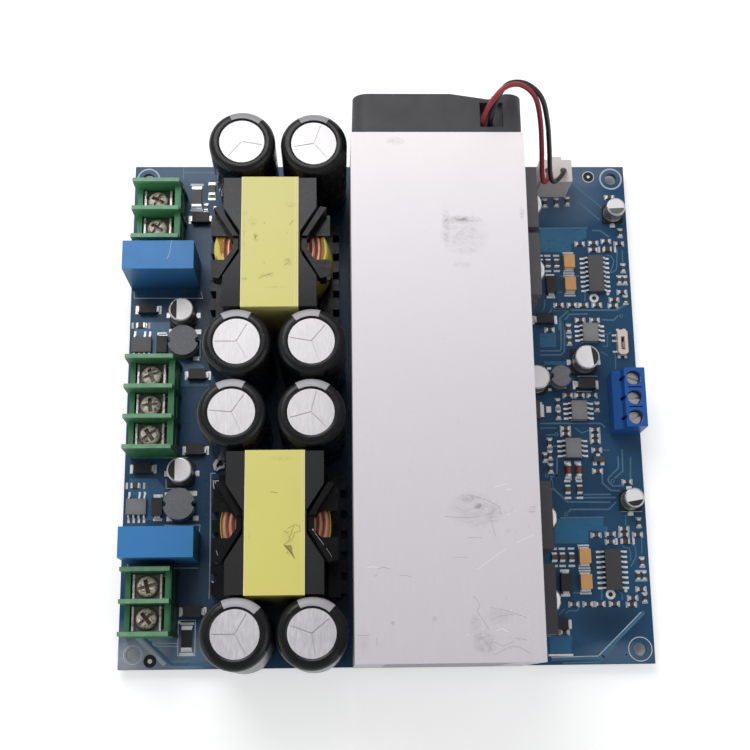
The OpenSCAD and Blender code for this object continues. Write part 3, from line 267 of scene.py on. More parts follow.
def board_mat():
    """Glossy solder mask over woven glass cloth."""
    mat = Surface("board_blue")
    blue, light = (0.016, 0.06, 0.128), (0.022, 0.082, 0.168)
    weave = mat.times(*[mat.math("SINE", mat.times(mat.along(axis), WEAVE)) for axis in "XY"])
    cloud = mat.ramp(mat.noise(45, 4), 0.3, 0.75)
    # The clouds are a little deeper left of the heatsink
    left = mat.mix(cloud, blue, tone(light, 0.95))
    base = mat.mix(mat.between("X", -36, -46), mat.mix(cloud, blue, light), left, 0.85)
    # Painted shade beside the heatsink and between parts
    base = mat.mix(mat.spots(BOARD_PAINTED_SHADE), base, (0.01, 0.034, 0.07))
    # Paler mask over copper, and painted glare at the front left corner
    base = mat.mix(mat.spots(BOARD_PALE_AND_GLARE), base, (0.17, 0.23, 0.33))
    streaks = mat.plus(mat.times(mat.noise(500, 3, 0.6, stretch=(0.15, 2, 1)), 0.7), 0.5)
    mat.finish(
        mat.mix(mat.times(mat.spots(BOARD_GLARE), streaks), base, (0.4, 0.42, 0.47)),
        mat.ramp(mat.noise(150), 0.2, 0.8, 0.24, 0.36),
        mat.bump(mat.plus(mat.times(weave, 0.3), mat.noise(700, 2)), 0.08, 0.06),
        gloss=0.2, coat=0.05, coat_rough=0.2,
    )


# Smudges on the heatsink's upper face
SINK_SMUDGES = [
    (16.8, 34, 5, 1.1, 0.58), (13.1, 32.5, 1.1, 5.6, 0.4), (17.5, 30.5, 6, 5.5, 0.24),
    (16.8, 26.4, 3.4, 0.8, 0.25), (16.5, 23, 2.6, 0.9, 0.25), (30.8, 35.4, 0.7, 1.6, 0.5),
    (1.8, 53.6, 2.6, 1.2, 0.28), (18.3, -32, 1, 0.9, 0.9), (17.4, -33, 6.2, 4.4, 0.32),
    (16.4, -30.4, 2.6, 1, 0.4), (21.6, -34, 2.2, 2.2, 0.3), (18.8, -61, 2.8, 3, 0.5),
    (17, -57.6, 1.6, 2.6, 0.35), (22, -55.6, 3.6, 2, 0.2), (-0.5, -56.8, 0.5, 0.5, 0.8),
    (30, -33, 1, 0.9, 0.5), (-6.8, -60.5, 1.6, 3.4, 0.2), (8.4, -56.1, 0.7, 0.9, 0.25),
]
# Places on that face with fine nicks: dark pits, and bright specks painted as glints
SINK_GLINTS = [
    (23, -58, 9, 7, 0.9), (21, -33, 7, 7, 0.8), (17, 31, 8, 9, 0.45), (-4, -48, 6, 9, 0.4),
    (28, -36, 5, 7, 0.6),
]
# Painted light on that face: darker at the front end, brighter towards the rear end, nearer the lamp
SINK_PAINTED_LIGHT = [
    (0.0, (0.625, 0.592, 0.632)), (0.5, (0.705, 0.675, 0.715)), (0.76, (0.8, 0.765, 0.8)),
    (0.97, (0.93, 0.865, 0.88)),
]


def milled_mat():
    """Pale milled aluminium, satin, with fine mill lines along its length and grey smudges; painted light
    brightens it towards the rear, and painted glints sit on its nicks.
    """
    mat = Surface("milled_aluminium")
    lines = mat.noise(60, 4, stretch=(34, 2.2, 34))
    smear = mat.ramp(mat.noise(28, 4, 0.6, 0.8), 0.35, 0.7)
    grit = mat.ramp(mat.noise(420, 5, 0.75, 1.5, (0.7, 1.5, 1)), 0.44, 0.62)
    glint = mat.ramp(mat.noise(1300, 2, 0.6), 0.7, 0.74)
    pit = mat.ramp(mat.noise(1000, 3, 0.7, 0.6), 0.66, 0.72)
    nicked = mat.spots(SINK_GLINTS)
    # Painted light: the face brightens from the front towards the rear
    colour = mat.stops(mat.between("Y", -66, 56), SINK_PAINTED_LIGHT)
    colour = mat.mix(smear, colour, (0.66, 0.63, 0.67), 0.12)
    colour = mat.mix(mat.ramp(lines, 0.45, 0.7), colour, (0.88, 0.85, 0.87), 0.07)
    # Painted glints on the nicks
    colour = mat.mix(mat.times(glint, nicked), colour, (0.97, 0.95, 0.96))
    colour = mat.mix(mat.times(pit, mat.plus(nicked, 0.12)), colour, (0.36, 0.34, 0.35))
    colour = mat.mix(mat.times(mat.spots(SINK_SMUDGES), mat.plus(grit, 0.25)), colour, (0.33, 0.3, 0.31))
    mat.finish(
        colour,
        mat.ramp(lines, 0.3, 0.7, 0.52, 0.62),
        mat.bump(mat.noise(200, 4, stretch=(40, 3.0, 40)), 0.06),
        metal=0.1,
    )


def tape_mat(name, front, rear, dark, specks=()):
    """Polyester tape: faint wrinkles, dirt specks, greasy patches and painted shade low down."""
    mat = Surface(name)
    wrinkle = mat.noise(160, 5, 0.6, 0.6)
    dirt = mat.ramp(mat.noise(240, 5, 0.75, 1.4), 0.66, 0.78)
    base = mat.mix(mat.between("Y", -40, 50), front, rear)
    base = mat.mix(mat.noise(60), base, tone(front, 0.82), 0.3)
    base = mat.mix(dirt, base, dark, 0.3)
    if specks:
        grit = mat.ramp(mat.noise(2000, 4, 0.75), 0.5, 0.6, 0.12)
        base = mat.mix(mat.times(mat.spots(specks), grit), base, dark)
    # Painted shade: down between the core and the capacitors the tape is darker
    base = mat.mix(mat.between("Z", SPOOL_TOP - 4, SPOOL_TOP - 16), base, tone(front, 0.55))
    mat.finish(
        base,
        mat.ramp(wrinkle, 0.3, 0.7, 0.34, 0.5),
        mat.bump(wrinkle, 0.3, 0.3),
        coat=0.1, coat_rough=0.25,
    )


def stripe_mat():
    """Printed stripe that is greyer on the two rear capacitors."""
    mat = Surface("sleeve_stripe")
    grey = mat.mix(mat.between("Y", 25, 50), (0.46, 0.45, 0.47), (0.26, 0.255, 0.27))
    mat.finish(
        mat.mix(mat.noise(300), grey, (0.34, 0.33, 0.35)), 0.36, mat.bump(mat.noise(400, 2), 0.08),
        coat=0.05, coat_rough=0.2,
    )


def film_mat():
    """Smooth blue plastic case, with painted shade that deepens towards its foot."""
    mat = Surface("film_blue")
    blue = (0.042, 0.215, 0.52)
    # Painted shade: the sides darken towards the foot; the top stays full blue
    side = mat.mix(mat.between("Z", 0.0, FILM_TOP - 0.5), tone(blue, 0.36), tone(blue, 0.95))
    case = mat.mix(mat.between("Z", FILM_TOP - 0.6, FILM_TOP - 0.2), side, blue)
    mat.finish(
        mat.mix(mat.noise(120), case, tone(blue, 0.6), 0.16),
        mat.ramp(mat.noise(300, 2), 0.25, 0.8, 0.32, 0.46),
        mat.bump(mat.noise(400, 2), 0.08),
    )


def epoxy_mat(name, rear, front, rough, places=(), highlight_tone=None):
    """Moulded epoxy, one tone at the rear and another at the front; a painted highlight round some places.
    """
    mat = Surface(name)
    base = mat.mix(mat.between("Y", -45, 45), front, rear)
    if places:
        # Painted highlights on the lids that catch the light
        base = mat.mix(mat.spots(places), base, highlight_tone)
    mat.finish(
        mat.mix(mat.noise(200), base, (0.03, 0.03, 0.032), 0.3),
        mat.ramp(mat.noise(300, 2), 0.25, 0.8, rough - 0.06, rough + 0.08),
        mat.bump(mat.noise(1600, 2), 0.3),
    )


def ferrite_mat(name, low, high, front):
    """Ground ferrite: dark grey with pale specks; front is the share of the tone at the front."""
    mat = Surface(name)
    speck = mat.ramp(mat.noise(2200, 3, 0.7), 0.5, 0.8)
    grey = mat.mix(speck, mat.mix(mat.noise(90, 4), low, high), tone(high, 2.2), 0.3)
    share = mat.plus(mat.times(mat.between("Y", 18, 36), 1 - front), front)
    mat.finish(mat.mix(share, (0, 0, 0), grey), 0.6, mat.bump(mat.noise(1500), 0.2))


def can_top_mat():
    """Satin aluminium of the capacitor tops, with a faint pressed orange-peel."""
    mat = Surface("bright_can")
    # Painted light: the tops are darker at the front and lighter towards the rear
    base = mat.mix(mat.between("Y", -60, 60), (0.56, 0.535, 0.565), (0.8, 0.775, 0.79))
    brushed = mat.ramp(mat.noise(1300, 4, 0.7, stretch=(1.6, 0.3, 1)), 0.35, 0.65)
    mat.finish(
        mat.mix(brushed, base, mat.mix(mat.noise(160), base, (0.86, 0.84, 0.85))),
        mat.ramp(mat.noise(500), 0.3, 0.7, 0.34, 0.48),
        mat.bump(mat.noise(350), 0.12, 0.12),
        metal=0.2, gloss=0.4,
    )


def wire_mat(name, colour, rough):
    """Soft vinyl skin of a wire."""
    mat = Surface(name)
    mat.finish(
        mat.mix(mat.noise(400), tone(colour, 0.85), tone(colour, 1.15)), rough,
        mat.bump(mat.noise(1400, 2), 0.1), gloss=0.35, coat=0.1, coat_rough=0.3,
    )


def copper_mat():
    """Enamelled round wire: pinkish copper in changing tones."""
    mat = Surface("winding_copper")
    mat.finish(
        mat.mix(mat.noise(260), (0.42, 0.15, 0.09), (0.74, 0.38, 0.28)), 0.36,
        mat.bump(mat.noise(900, 2), 0.1), metal=0.6, gloss=0.5,
    )


def shaded_metal(name, low, high, z_low, z_high, metal=0.4, mottle=0.6):
    """Bright plated metal whose parts below z_low, in mm, are painted dark for dirt and shade."""
    mat = Surface(name)
    dull = mat.ramp(mat.noise(1000, 4, 0.7, 0.8), 0.5, 0.62)
    mat.finish(
        mat.mix(mat.between("Z", z_low, z_high), low, mat.mix(dull, high, tone(high, mottle))),
        mat.ramp(mat.noise(500, 2), 0.3, 0.7, 0.16, 0.32),
        mat.bump(mat.noise(900), 0.35, 0.2),
        metal, gloss=0.5,
    )


def barrier_mat():
    """Green moulded plastic whose upper edges are rubbed paler and whose right side lies in shade."""
    mat = Surface("terminal_green")
    green = (0.042, 0.196, 0.08)
    body = mat.mix(mat.noise(140), tone(green, 0.85), tone(green, 1.15))
    body = mat.mix(mat.between("Y", 30, 50), body, tone(green, 1.45))
    rubbed = mat.ramp(mat.noise(500), 0.3, 0.7, 0.5)
    worn = mat.times(mat.between("Z", BARRIER_TOP - 1.6, BARRIER_TOP), rubbed)
    shade = mat.times(mat.between("X", -52, -51.4), mat.between("Z", BARRIER_TOP - 0.6, BARRIER_TOP - 2.9))
    mat.finish(
        mat.mix(shade, mat.mix(worn, body, (0.21, 0.4, 0.25)), tone(green, 0.35)),
        mat.ramp(mat.noise(300, 2), 0.25, 0.8, 0.36, 0.52),
        mat.bump(mat.noise(900, 2), 0.15),
        gloss=0.35,
    )


# Painted highlights on the lids of the small circuits that catch the light
CHIP_PAINTED_HIGHLIGHTS = [
    (53.5, 18.5, 5, 6, 0.62), (49.5, -2.1, 5, 6, 0.6), (47.5, -11.8, 5, 6, 0.62), (-61.7, -25.8, 6, 5, 0.6),
    (-61.7, 15.7, 6, 5, 0.2), (55.8, 34.5, 6, 12, 0.04),
]
# Dirt and rubbed spots on the tape of the cores
TAPE_SPECKS = [
    (-31.8, 37.3, 1.3, 1.5, 0.32), (-31, 33.5, 0.8, 1.3, 0.7), (-33.5, 39.4, 0.6, 1, 0.4),
    (-33.5, 23.1, 0.8, 0.5, 1), (-28.2, 24, 2, 0.7, 0.45), (-23.4, 27.2, 1.2, 1.3, 0.5),
    (-33.7, 34, 0.3, 5, 0.35), (-22.6, 41.6, 1.6, 1, 0.3), (-26.5, 21, 3, 0.4, 0.3),
    (-23, -37.6, 1.6, 2.2, 0.35), (-22.7, -40.2, 1, 1.5, 0.55), (-24.6, -19.5, 3, 0.8, 0.25),
]
# Plain surfaces: colour, roughness, colour drift, grain scale, bump, gloss, coat, metal
PLAIN = {
    "masked_copper": ((0.022, 0.128, 0.25), 0.3, 0.1, 600, 0.06, 0.35, 0.1),
    "masked_track": ((0.07, 0.165, 0.245), 0.32, 0.12, 600, 0.06, 0.35, 0.1),
    "masked_bus": ((0.048, 0.15, 0.235), 0.3, 0.12, 600, 0.06, 0.35, 0.1),
    "bus_highlight_and_ring": ((0.42, 0.47, 0.55), 0.3, 0.12, 600, 0.06, 0.35, 0.1),
    "silkscreen": ((0.6, 0.62, 0.64), 0.55, 0.06, 1500, 0.1),
    "tinned_pad": ((0.8, 0.8, 0.81), 0.32, 0.14, 900, 0.4, 0.5, 0.0, 0.35),
    "glue": ((0.62, 0.63, 0.63), 0.3, 0.06, 500, 0.2, 0.5, 0.2),
    "solder": ((0.66, 0.66, 0.68), 0.25, 0.08, 600, 0.2, 0.5, 0.0, 0.9),
    "tinned": ((0.8, 0.8, 0.8), 0.3, 0.12, 900, 0.25, 0.5, 0.0, 0.5),
    "scratch_dark": ((0.43, 0.41, 0.42), 0.6, 0.1, 700, 0.1, 0.3, 0.0, 0.1),
    "scratch_light": ((0.84, 0.82, 0.83), 0.4, 0.05, 700, 0.1, 0.4, 0.0, 0.1),
    "plated_steel": ((0.66, 0.64, 0.63), 0.28, 0.1, 700, 0.15, 0.5, 0.0, 0.85),
    "fan_plastic": ((0.058, 0.056, 0.061), 0.55, 0.12, 1400, 0.25),
    "rotor_plastic": ((0.024, 0.024, 0.027), 0.45, 0.12, 1400, 0.2),
    "bearing_brass": ((0.66, 0.48, 0.22), 0.35, 0.1, 900, 0.12, 0.5, 0.0, 0.9),
    "stator": ((0.36, 0.2, 0.12), 0.4, 0.2, 900, 0.12, 0.5, 0.0, 0.6),
    "magnet": ((0.05, 0.048, 0.047), 0.7, 0.12, 900, 0.12, 0.5),
    "black_steel": ((0.03, 0.03, 0.032), 0.35, 0.12, 900, 0.12, 0.5, 0.0, 0.6),
    "milky_nylon": ((0.68, 0.61, 0.58), 0.42, 0.06, 700, 0.1, 0.4),
    "sleeve_black": ((0.008, 0.0082, 0.009), 0.26, 0.2, 260, 0.1, 0.28),
    "bobbin_black": ((0.0065, 0.0065, 0.0075), 0.22, 0.15, 900, 0.35, 0.22),
    "tape_fold_shade": ((0.4, 0.2, 0.035), 0.5, 0.15, 500, 0.2, 0.2),
    "tape_crease": ((0.3, 0.265, 0.075), 0.5, 0.3, 1500, 0.3, 0.2),
    "tape_edge": ((0.82, 0.78, 0.42), 0.4, 0.08, 700, 0.1),
    "contact_plate": ((0.55, 0.5, 0.4), 0.35, 0.12, 900, 0.12, 0.5, 0.0, 0.85),
    "terminal_screw": ((0.72, 0.69, 0.66), 0.24, 0.12, 700, 0.15, 0.5, 0.0, 0.8),
    "input_blue": ((0.01, 0.092, 0.35), 0.36, 0.1, 800, 0.12, 0.35, 0.05),
    "insulating_pad": ((0.28, 0.29, 0.31), 0.7, 0.12, 900, 0.12, 0.5),
    "tantalum_ochre": ((0.66, 0.35, 0.13), 0.45, 0.12, 1200, 0.2),
    "can_disc": ((0.86, 0.83, 0.84), 0.45, 0.05, 500, 0.1, 0.3, 0.0, 0.1),
    "can_mark": ((0.024, 0.022, 0.022), 0.5, 0.2, 900, 0.15),
    "can_mark_green": ((0.13, 0.15, 0.13), 0.5, 0.2, 900, 0.15),
    "base_black": ((0.014, 0.014, 0.016), 0.45),
    "resistor_black": ((0.016, 0.016, 0.018), 0.35, 0.15, 900, 0.15, 0.3, 0.1),
    "diode_black": ((0.024, 0.024, 0.027), 0.45, 0.12, 1300, 0.25),
    "glass_amber": ((0.2, 0.045, 0.022), 0.18, 0.3, 500, 0.05, 0.4, 0.3),
    "chip_body": ((0.095, 0.06, 0.048), 0.4, 0.45, 500, 0.1),
    "chip_end": ((0.8, 0.79, 0.79), 0.28, 0.14, 1200, 0.4, 0.5, 0.0, 0.45),
    "switch_cream": ((0.73, 0.59, 0.54), 0.42, 0.08, 900, 0.12, 0.5),
    "knob_brown": ((0.3, 0.2, 0.15), 0.5, 0.12, 900, 0.12, 0.5),
}
for name, look in PLAIN.items():
    plain(name, *look)
board_mat()
milled_mat()
can_top_mat()
stripe_mat()
film_mat()
copper_mat()
barrier_mat()
wire_mat("wire_red", (0.3, 0.026, 0.042), 0.42)
wire_mat("wire_black", (0.014, 0.014, 0.016), 0.35)
ferrite_mat("ferrite", (0.042, 0.042, 0.045), (0.084, 0.084, 0.09), 0.22)
ferrite_mat("drum_ferrite", (0.14, 0.14, 0.152), (0.205, 0.205, 0.226), 0.95)
tape_mat("winding_tape", (0.66, 0.56, 0.06), (0.7, 0.62, 0.1), (0.2, 0.15, 0.03))
tape_mat("core_tape", (0.735, 0.675, 0.185), (0.68, 0.635, 0.245), (0.13, 0.115, 0.05), TAPE_SPECKS)
epoxy_mat("black_epoxy", (0.125, 0.12, 0.13), (0.052, 0.05, 0.056), 0.6)
epoxy_mat("chip_epoxy", (0.09, 0.088, 0.092), (0.054, 0.052, 0.058), 0.55, CHIP_PAINTED_HIGHLIGHTS, (0.42, 0.42, 0.43))
# Clamps and screw heads darken below their tops: dirt, and painted shade beside the clamps and in the screw
# recesses
shaded_metal("clamp_plate", (0.16, 0.145, 0.13), (0.8, 0.77, 0.74), CLAMP_TOP - 1, CLAMP_TOP - 0.7, 0.2, 0.3)
shaded_metal("pole_screw", (0.1, 0.055, 0.04), (0.97, 0.84, 0.74), SCREW_TOP - 1.15, SCREW_TOP - 0.6,
             0.1, 0.16)
# Painted reflection: the small cans' sides darken below their tops, standing in for the dark board that they
# mirror
shaded_metal("small_can", (0.3, 0.29, 0.29), (0.62, 0.6, 0.61), CAN_TOP - 0.5, CAN_TOP)

# The nodes that each material covers, with spaces between their names
COVERS = {
    "board_blue": "circuit_board", "solder": "solder_joints", "milled_aluminium": "heatsink",
    "plated_steel": "heatsink_screws fan_shaft transistor_screws", "fan_plastic": "fan_frame",
    "bearing_brass": "fan_bearing", "stator": "fan_stator", "rotor_plastic": "fan_rotor",
    "magnet": "fan_magnet", "black_steel": "fan_screws", "wire_red": "fan_lead_red",
    "wire_black": "fan_lead_black", "milky_nylon": "fan_plug fan_header",
    "tinned": "fan_contacts capacitor_leads inductor_pins transistor_leads chip_leads",
    "bright_can": "storage_capacitors", "sleeve_black": "capacitor_sleeves",
    "film_blue": "film_capacitors", "ferrite": "inductor_cores", "bobbin_black": "inductor_bobbins",
    "winding_copper": "inductor_windings", "winding_tape": "winding_tapes", "core_tape": "core_tapes",
    "terminal_green": "rear_output_terminal supply_terminal front_output_terminal",
    "contact_plate": "terminal_contacts input_cages", "clamp_plate": "terminal_clamps",
    "input_blue": "input_terminal", "black_epoxy": "power_transistors",
    "insulating_pad": "transistor_pads", "chip_epoxy": "chip_bodies",
    "tantalum_ochre": "tantalum_capacitors", "small_can": "small_can_capacitors",
    "base_black": "small_can_bases", "drum_ferrite": "small_inductors",
    "resistor_black": "power_resistors", "diode_black": "diodes", "glass_amber": "glass_diodes",
    "chip_body": "small_chips", "chip_end": "end_caps", "switch_cream": "switch_body",
    "knob_brown": "switch_knob",
}
COVERS["pole_screw"] = " ".join("terminal_screw_%d" % i for i in range(1, 8))
COVERS["terminal_screw"] = " ".join("input_screw_%d" % i for i in range(1, 4))
for material, names in COVERS.items():
    for name in names.split():
        node = NODES[name]
        if not node.material_slots:
            node.data.materials.append(None)
        for slot in node.material_slots:
            slot.material = MATERIALS[material]


# Pieces added to the scene, each moving with the board
def add(data, material):
    """New piece that moves with the board, covered by its material."""
    piece = new_object(data)
    data.materials.append(MATERIALS[material])
    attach(piece, BODY)
    return piece


# The fan's two wires: the same points as in the part's source, in mm
WIRE_D = 1.3
# The drawn skin lies this far inside the full width
WIRE_SHY = 0.03
RED_ROUTE = [
    (16.7, 56.8, 29.2), (19.5, 56.8, 32.8), (22.4, 56.8, 36.5), (22.8, 57.5, 38.4), (22.7, 58.6, 41),
    (22.8, 59.4, 44), (24, 61, 47.2), (27, 64, 48.8), (31, 65.4, 47.5),
    (35, 64.6, 43), (37.4, 62.4, 35), (39.2, 59.6, 25), (40.4, 56.8, 17), (41.2, 55.4, 14.2),
    (42.4, 56.4, 13.6), (42.9, 58.6, 13.2), (42.92, 59.4, 12), (42.92, 59.4, 10),
]
BLACK_ROUTE = [
    (17.8, 56.8, 28.4), (20.6, 56.8, 31.9), (23.6, 56.8, 35.8), (24.3, 57.4, 37.8), (24.3, 58.6, 40.8),
    (24.5, 59.6, 44), (25.4, 62, 46.6), (28, 65.6, 47.4), (32.4, 66.4, 46.2),
    (36.6, 64.8, 42.4), (39.2, 62.2, 34.6), (41.1, 59.2, 25), (42.3, 56.4, 18), (43.4, 55, 15.4),
    (45.2, 56.2, 14.4), (46.8, 58.6, 13.4), (46.88, 59.4, 12), (46.88, 59.4, 10),
]


def smooth(points, steps):
    """Points along the same curve through the route's points as in the part's source, in metres."""
    last = len(points) - 1
    line = []
    for i in range(last):
        p0, p1, p2, p3 = (Vector(points[j]) for j in (max(i - 1, 0), i, i + 1, min(i + 2, last)))
        for k in range(steps):
            t = k / steps
            square = (2 * p0 - 5 * p1 + 4 * p2 - p3) * t * t
            cube = (3 * p1 - p0 - 3 * p2 + p3) * t * t * t
            line.append(0.5 * MM * (2 * p1 + (p2 - p0) * t + square + cube))
    line.append(Vector(points[last]) * MM)
    return line


def fan_wire(name, node, route, finish):
    """A round vinyl wire from the fan to its plug."""
    line = smooth(route, 6)
    data = bpy.data.curves.new(name, "CURVE")
    data.dimensions = "3D"
    data.bevel_depth = (WIRE_D / 2 - WIRE_SHY) * MM
    data.bevel_resolution = 5
    data.use_fill_caps = True
    spline = data.splines.new("POLY")
    spline.points.add(len(line) - 1)
    for point, place in zip(spline.points, line):
        point.co = (*place, 1)
    wire = add(data, finish)
    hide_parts(node)


fan_wire("red_wire", "fan_lead_red", RED_ROUTE, "wire_red")
fan_wire("black_wire", "fan_lead_black", BLACK_ROUTE, "wire_black")


def new_mesh(name, verts, faces, smooth_shaded=False):
    """Mesh of points in metres and faces."""
    mesh = bpy.data.meshes.new(name)
    mesh.from_pydata(verts, [], faces, shade_flat=not smooth_shaded)
    mesh.validate()
    mesh.update()
    return mesh


def circle(x, y, radius, turns):
    """Points round a centre, one for each turn in radians."""
    return [(x + radius * math.cos(a), y + radius * math.sin(a)) for a in turns]


def full_turn(count):
    """Evenly spaced turns in radians."""
    return [2 * math.pi * i / count for i in range(count)]


class Flat:
    """Thin shapes on a flat face, gathered into one piece; places in mm from an origin."""

    def __init__(self, base, height, origin=(0, 0)):
        self.base, self.top = base * MM, (base + height) * MM
        self.origin = origin
        self.verts, self.faces = [], []

    def loop(self, points, z):
        """Add points at a height and give their numbers."""
        start = len(self.verts)
        self.verts += [((self.origin[0] + x) * MM, (self.origin[1] + y) * MM, z) for x, y in points]
        return list(range(start, start + len(points)))

    def fill(self, points):
        """Closed outline with its sides."""
        area = sum(a[0] * b[1] - b[0] * a[1] for a, b in zip(points, points[1:] + points[:1]))
        if area < 0:
            points = points[::-1]
        low, high = self.loop(points, self.base), self.loop(points, self.top)
        self.faces += [high, low[::-1]]
        for i in range(len(points)):
            j = (i + 1) % len(points)
            self.faces.append([low[i], low[j], high[j], high[i]])

    def box(self, x0, y0, x1, y1):
        self.fill([(x0, y0), (x1, y0), (x1, y1), (x0, y1)])

    def disc(self, x, y, radius, count=20):
        self.fill(circle(x, y, radius, full_turn(count)))

    def band(self, left, right, closed=False):
        """Strip between two rows of points."""
        rows = [self.loop(left, self.base), self.loop(left, self.top),
                self.loop(right, self.top), self.loop(right, self.base)]
        count = len(left)
        for i in range(count if closed else count - 1):
            j = (i + 1) % count
            for a, b in zip(rows, rows[1:] + rows[:1]):
                self.faces.append([a[i], b[i], b[j], a[j]])
        if not closed:
            self.faces += [[r[0] for r in rows][::-1], [r[-1] for r in rows]]

    def ring(self, x, y, outer, inner, count=36):
        turns = full_turn(count)
        self.band(circle(x, y, outer, turns), circle(x, y, inner, turns), True)

    def line(self, points, width):
        """Stroke along points with mitred corners."""
        left, right = [], []
        for i, (x, y) in enumerate(points):
            sides = []
            # The steps that lead to the point and on from it
            for a, b in zip(points[max(i - 1, 0):i + 1], points[max(i, 1):i + 2]):
                step = Vector((b[0] - a[0], b[1] - a[1])).normalized()
                sides.append(Vector((-step.y, step.x)))
            normal = sum(sides, Vector((0, 0))).normalized()
            reach = width / 2 / max(0.5, normal.dot(sides[0]))
            left.append((x + normal.x * reach, y + normal.y * reach))
            right.append((x - normal.x * reach, y - normal.y * reach))
        self.band(left, right)

    def lines(self, routes, width):
        """A stroke along each route."""
        for points in routes:
            self.line(points, width)
        return self

    def piece(self, name, material, slot=None):
        add(new_mesh(name, self.verts, self.faces), material)


def lumps(node):
    """Centre and half sizes, in mm, of each separate lump of a node's mesh."""
    mesh = NODES[node].data
    keys = [tuple(round(c / MM, 2) for c in v.co) for v in mesh.vertices]
    group = {key: key for key in keys}

    def root(key):
        while group[key] != key:
            group[key] = group[group[key]]
            key = group[key]
        return key

    for edge in mesh.edges:
        group[root(keys[edge.vertices[0]])] = root(keys[edge.vertices[1]])
    found = {}
    for key in group:
        found.setdefault(root(key), []).append(key)
    out = []
    for points in found.values():
        low = [min(axis) for axis in zip(*points)]
        high = [max(axis) for axis in zip(*points)]
        out.append((Vector([(a + b) / 2 for a, b in zip(low, high)]),
                    Vector([(b - a) / 2 for a, b in zip(low, high)])))
    return sorted(out, key=lambda lump: (round(lump[0].y, 1), lump[0].x))


# Layers on the board, from the lowest up
areas = Flat(BOARD_TOP, 0.02)
buses = Flat(BOARD_TOP, 0.025)
tracks = Flat(BOARD_TOP, 0.03)
highlights_and_rings = Flat(BOARD_TOP, 0.035)
silk = Flat(BOARD_TOP, 0.045)
pads = Flat(BOARD_TOP, 0.05)
pits = Flat(BOARD_TOP, 0.06)
fiducial_dots = Flat(BOARD_TOP, 0.08)
PRINT_WIDTH = 0.16
BRACKET_WIDTH = 0.14


def across(centre, lies_along_x, along, side):
    """Point beside a part's centre: so far along its length and to its side."""
    if lies_along_x:
        return (centre.x + along, centre.y + side)
    return (centre.x + side, centre.y + along)


def bars(layer, centre, lies_along_x, start, end, half):
    """A bar beyond each end of a part."""
    corners = ((start, -half), (end, -half), (end, half), (start, half))
    for s in (-1, 1):
        layer.fill([across(centre, lies_along_x, s * u, v) for u, v in corners])


def brackets(centre, lies_along_x, reach, half, leg):
    """A printed bracket round each end of a part."""
    corners = ((reach - leg, -half), (reach, -half), (reach, half), (reach - leg, half))
    for s in (-1, 1):
        silk.line([across(centre, lies_along_x, s * u, v) for u, v in corners], BRACKET_WIDTH)


# Pads and printed brackets of the two-ended parts
for centre, half in lumps("small_chips"):
    along_x = half.x > half.y
    long_half = max(half.x, half.y)
    if long_half < 0.6:
        bars(pads, centre, along_x, 0.8, 1.12, 0.46)
        brackets(centre, along_x, 1.3, 0.62, 0.45)
    elif long_half < 1:
        bars(pads, centre, along_x, 0.9, 1.2, 0.62)
        bars(silk, centre, along_x, 1.85, 2.4, 0.8)
    else:
        bars(pads, centre, along_x, 1.5, 2.2, 0.95)
for centre, half in lumps("tantalum_capacitors"):
    bars(pads, centre, False, 1.9, 2.35, 1.3)
    bars(silk, centre, False, 2.55, 3.0, 1.45)
for centre, half in lumps("diodes"):
    bars(pads, centre, half.x > half.y, 2.6, 3.3, 1.1)
for centre, half in lumps("power_resistors"):
    bars(pads, centre, False, 2.6, 3.1, 1.35)
    bars(silk, centre, False, 3.3, 3.9, 1.7)
for centre, half in lumps("glass_diodes"):
    bars(pads, centre, False, 1.45, 2.1, 0.62)
    brackets(centre, False, 2.35, 0.75, 0.8)
for centre, half in lumps("small_can_capacitors"):
    upright = half.x < 2.8
    bars(pads, centre, not upright, half.x + 0.35, half.x + 1.2, 0.7)

# Pads of the chips with leads: each reaches out past the foot of its lead
chips = lumps("chip_bodies")
for centre, half in lumps("chip_leads"):
    chip = min((c for c, _ in chips), key=lambda c: (c - centre).length)
    along_x = half.x > half.y
    out = math.copysign(1, centre.x - chip.x) if along_x else math.copysign(1, centre.y - chip.y)
    toe = max(half.x, half.y)
    if toe > 0.5:
        ends = [across(centre, along_x, out * u, v) for u in (toe - 0.5, toe + 0.75) for v in (-0.27, 0.27)]
        pads.fill([ends[0], ends[1], ends[3], ends[2]])
    elif half.z < 0.2:
        pads.box(centre.x - 0.5, centre.y - 0.55, centre.x + 0.5, centre.y + 0.55)

# Paler stretches of copper under the mask
AREAS = [
    [(41.9, 47.3), (54.2, 47.3), (54.1, 45), (52.9, 44.2), (49.9, 43), (49.8, 40.9), (41.6, 40.9)],
    [(40.6, 18.6), (44.8, 18.6), (44.6, 14.9), (40.4, 14.9)],
    [(41.3, 11.1), (47, 11.1), (46.9, 10.1), (41.3, 10.2)],
    [(43, -29.6), (54.3, -29.6), (54.2, -31.5), (55.4, -31.5), (55.1, -32.9), (50.4, -32.5),
     (50.2, -35.7), (41.8, -35.7), (42, -32.1)],
    [(39.5, -58.1), (44.9, -58.1), (44.7, -62.2), (39.4, -62.2)],
    [(-63.8, 22), (-52, 22), (-50.5, 20.5), (-50.5, 12), (-46, 10.5), (-44.5, 5), (-63.8, 5)],
    [(-63.8, -18.6), (-57, -18.6), (-55, -21), (-55, -29), (-63.8, -29)],
]
for outline in AREAS:
    areas.fill(outline)

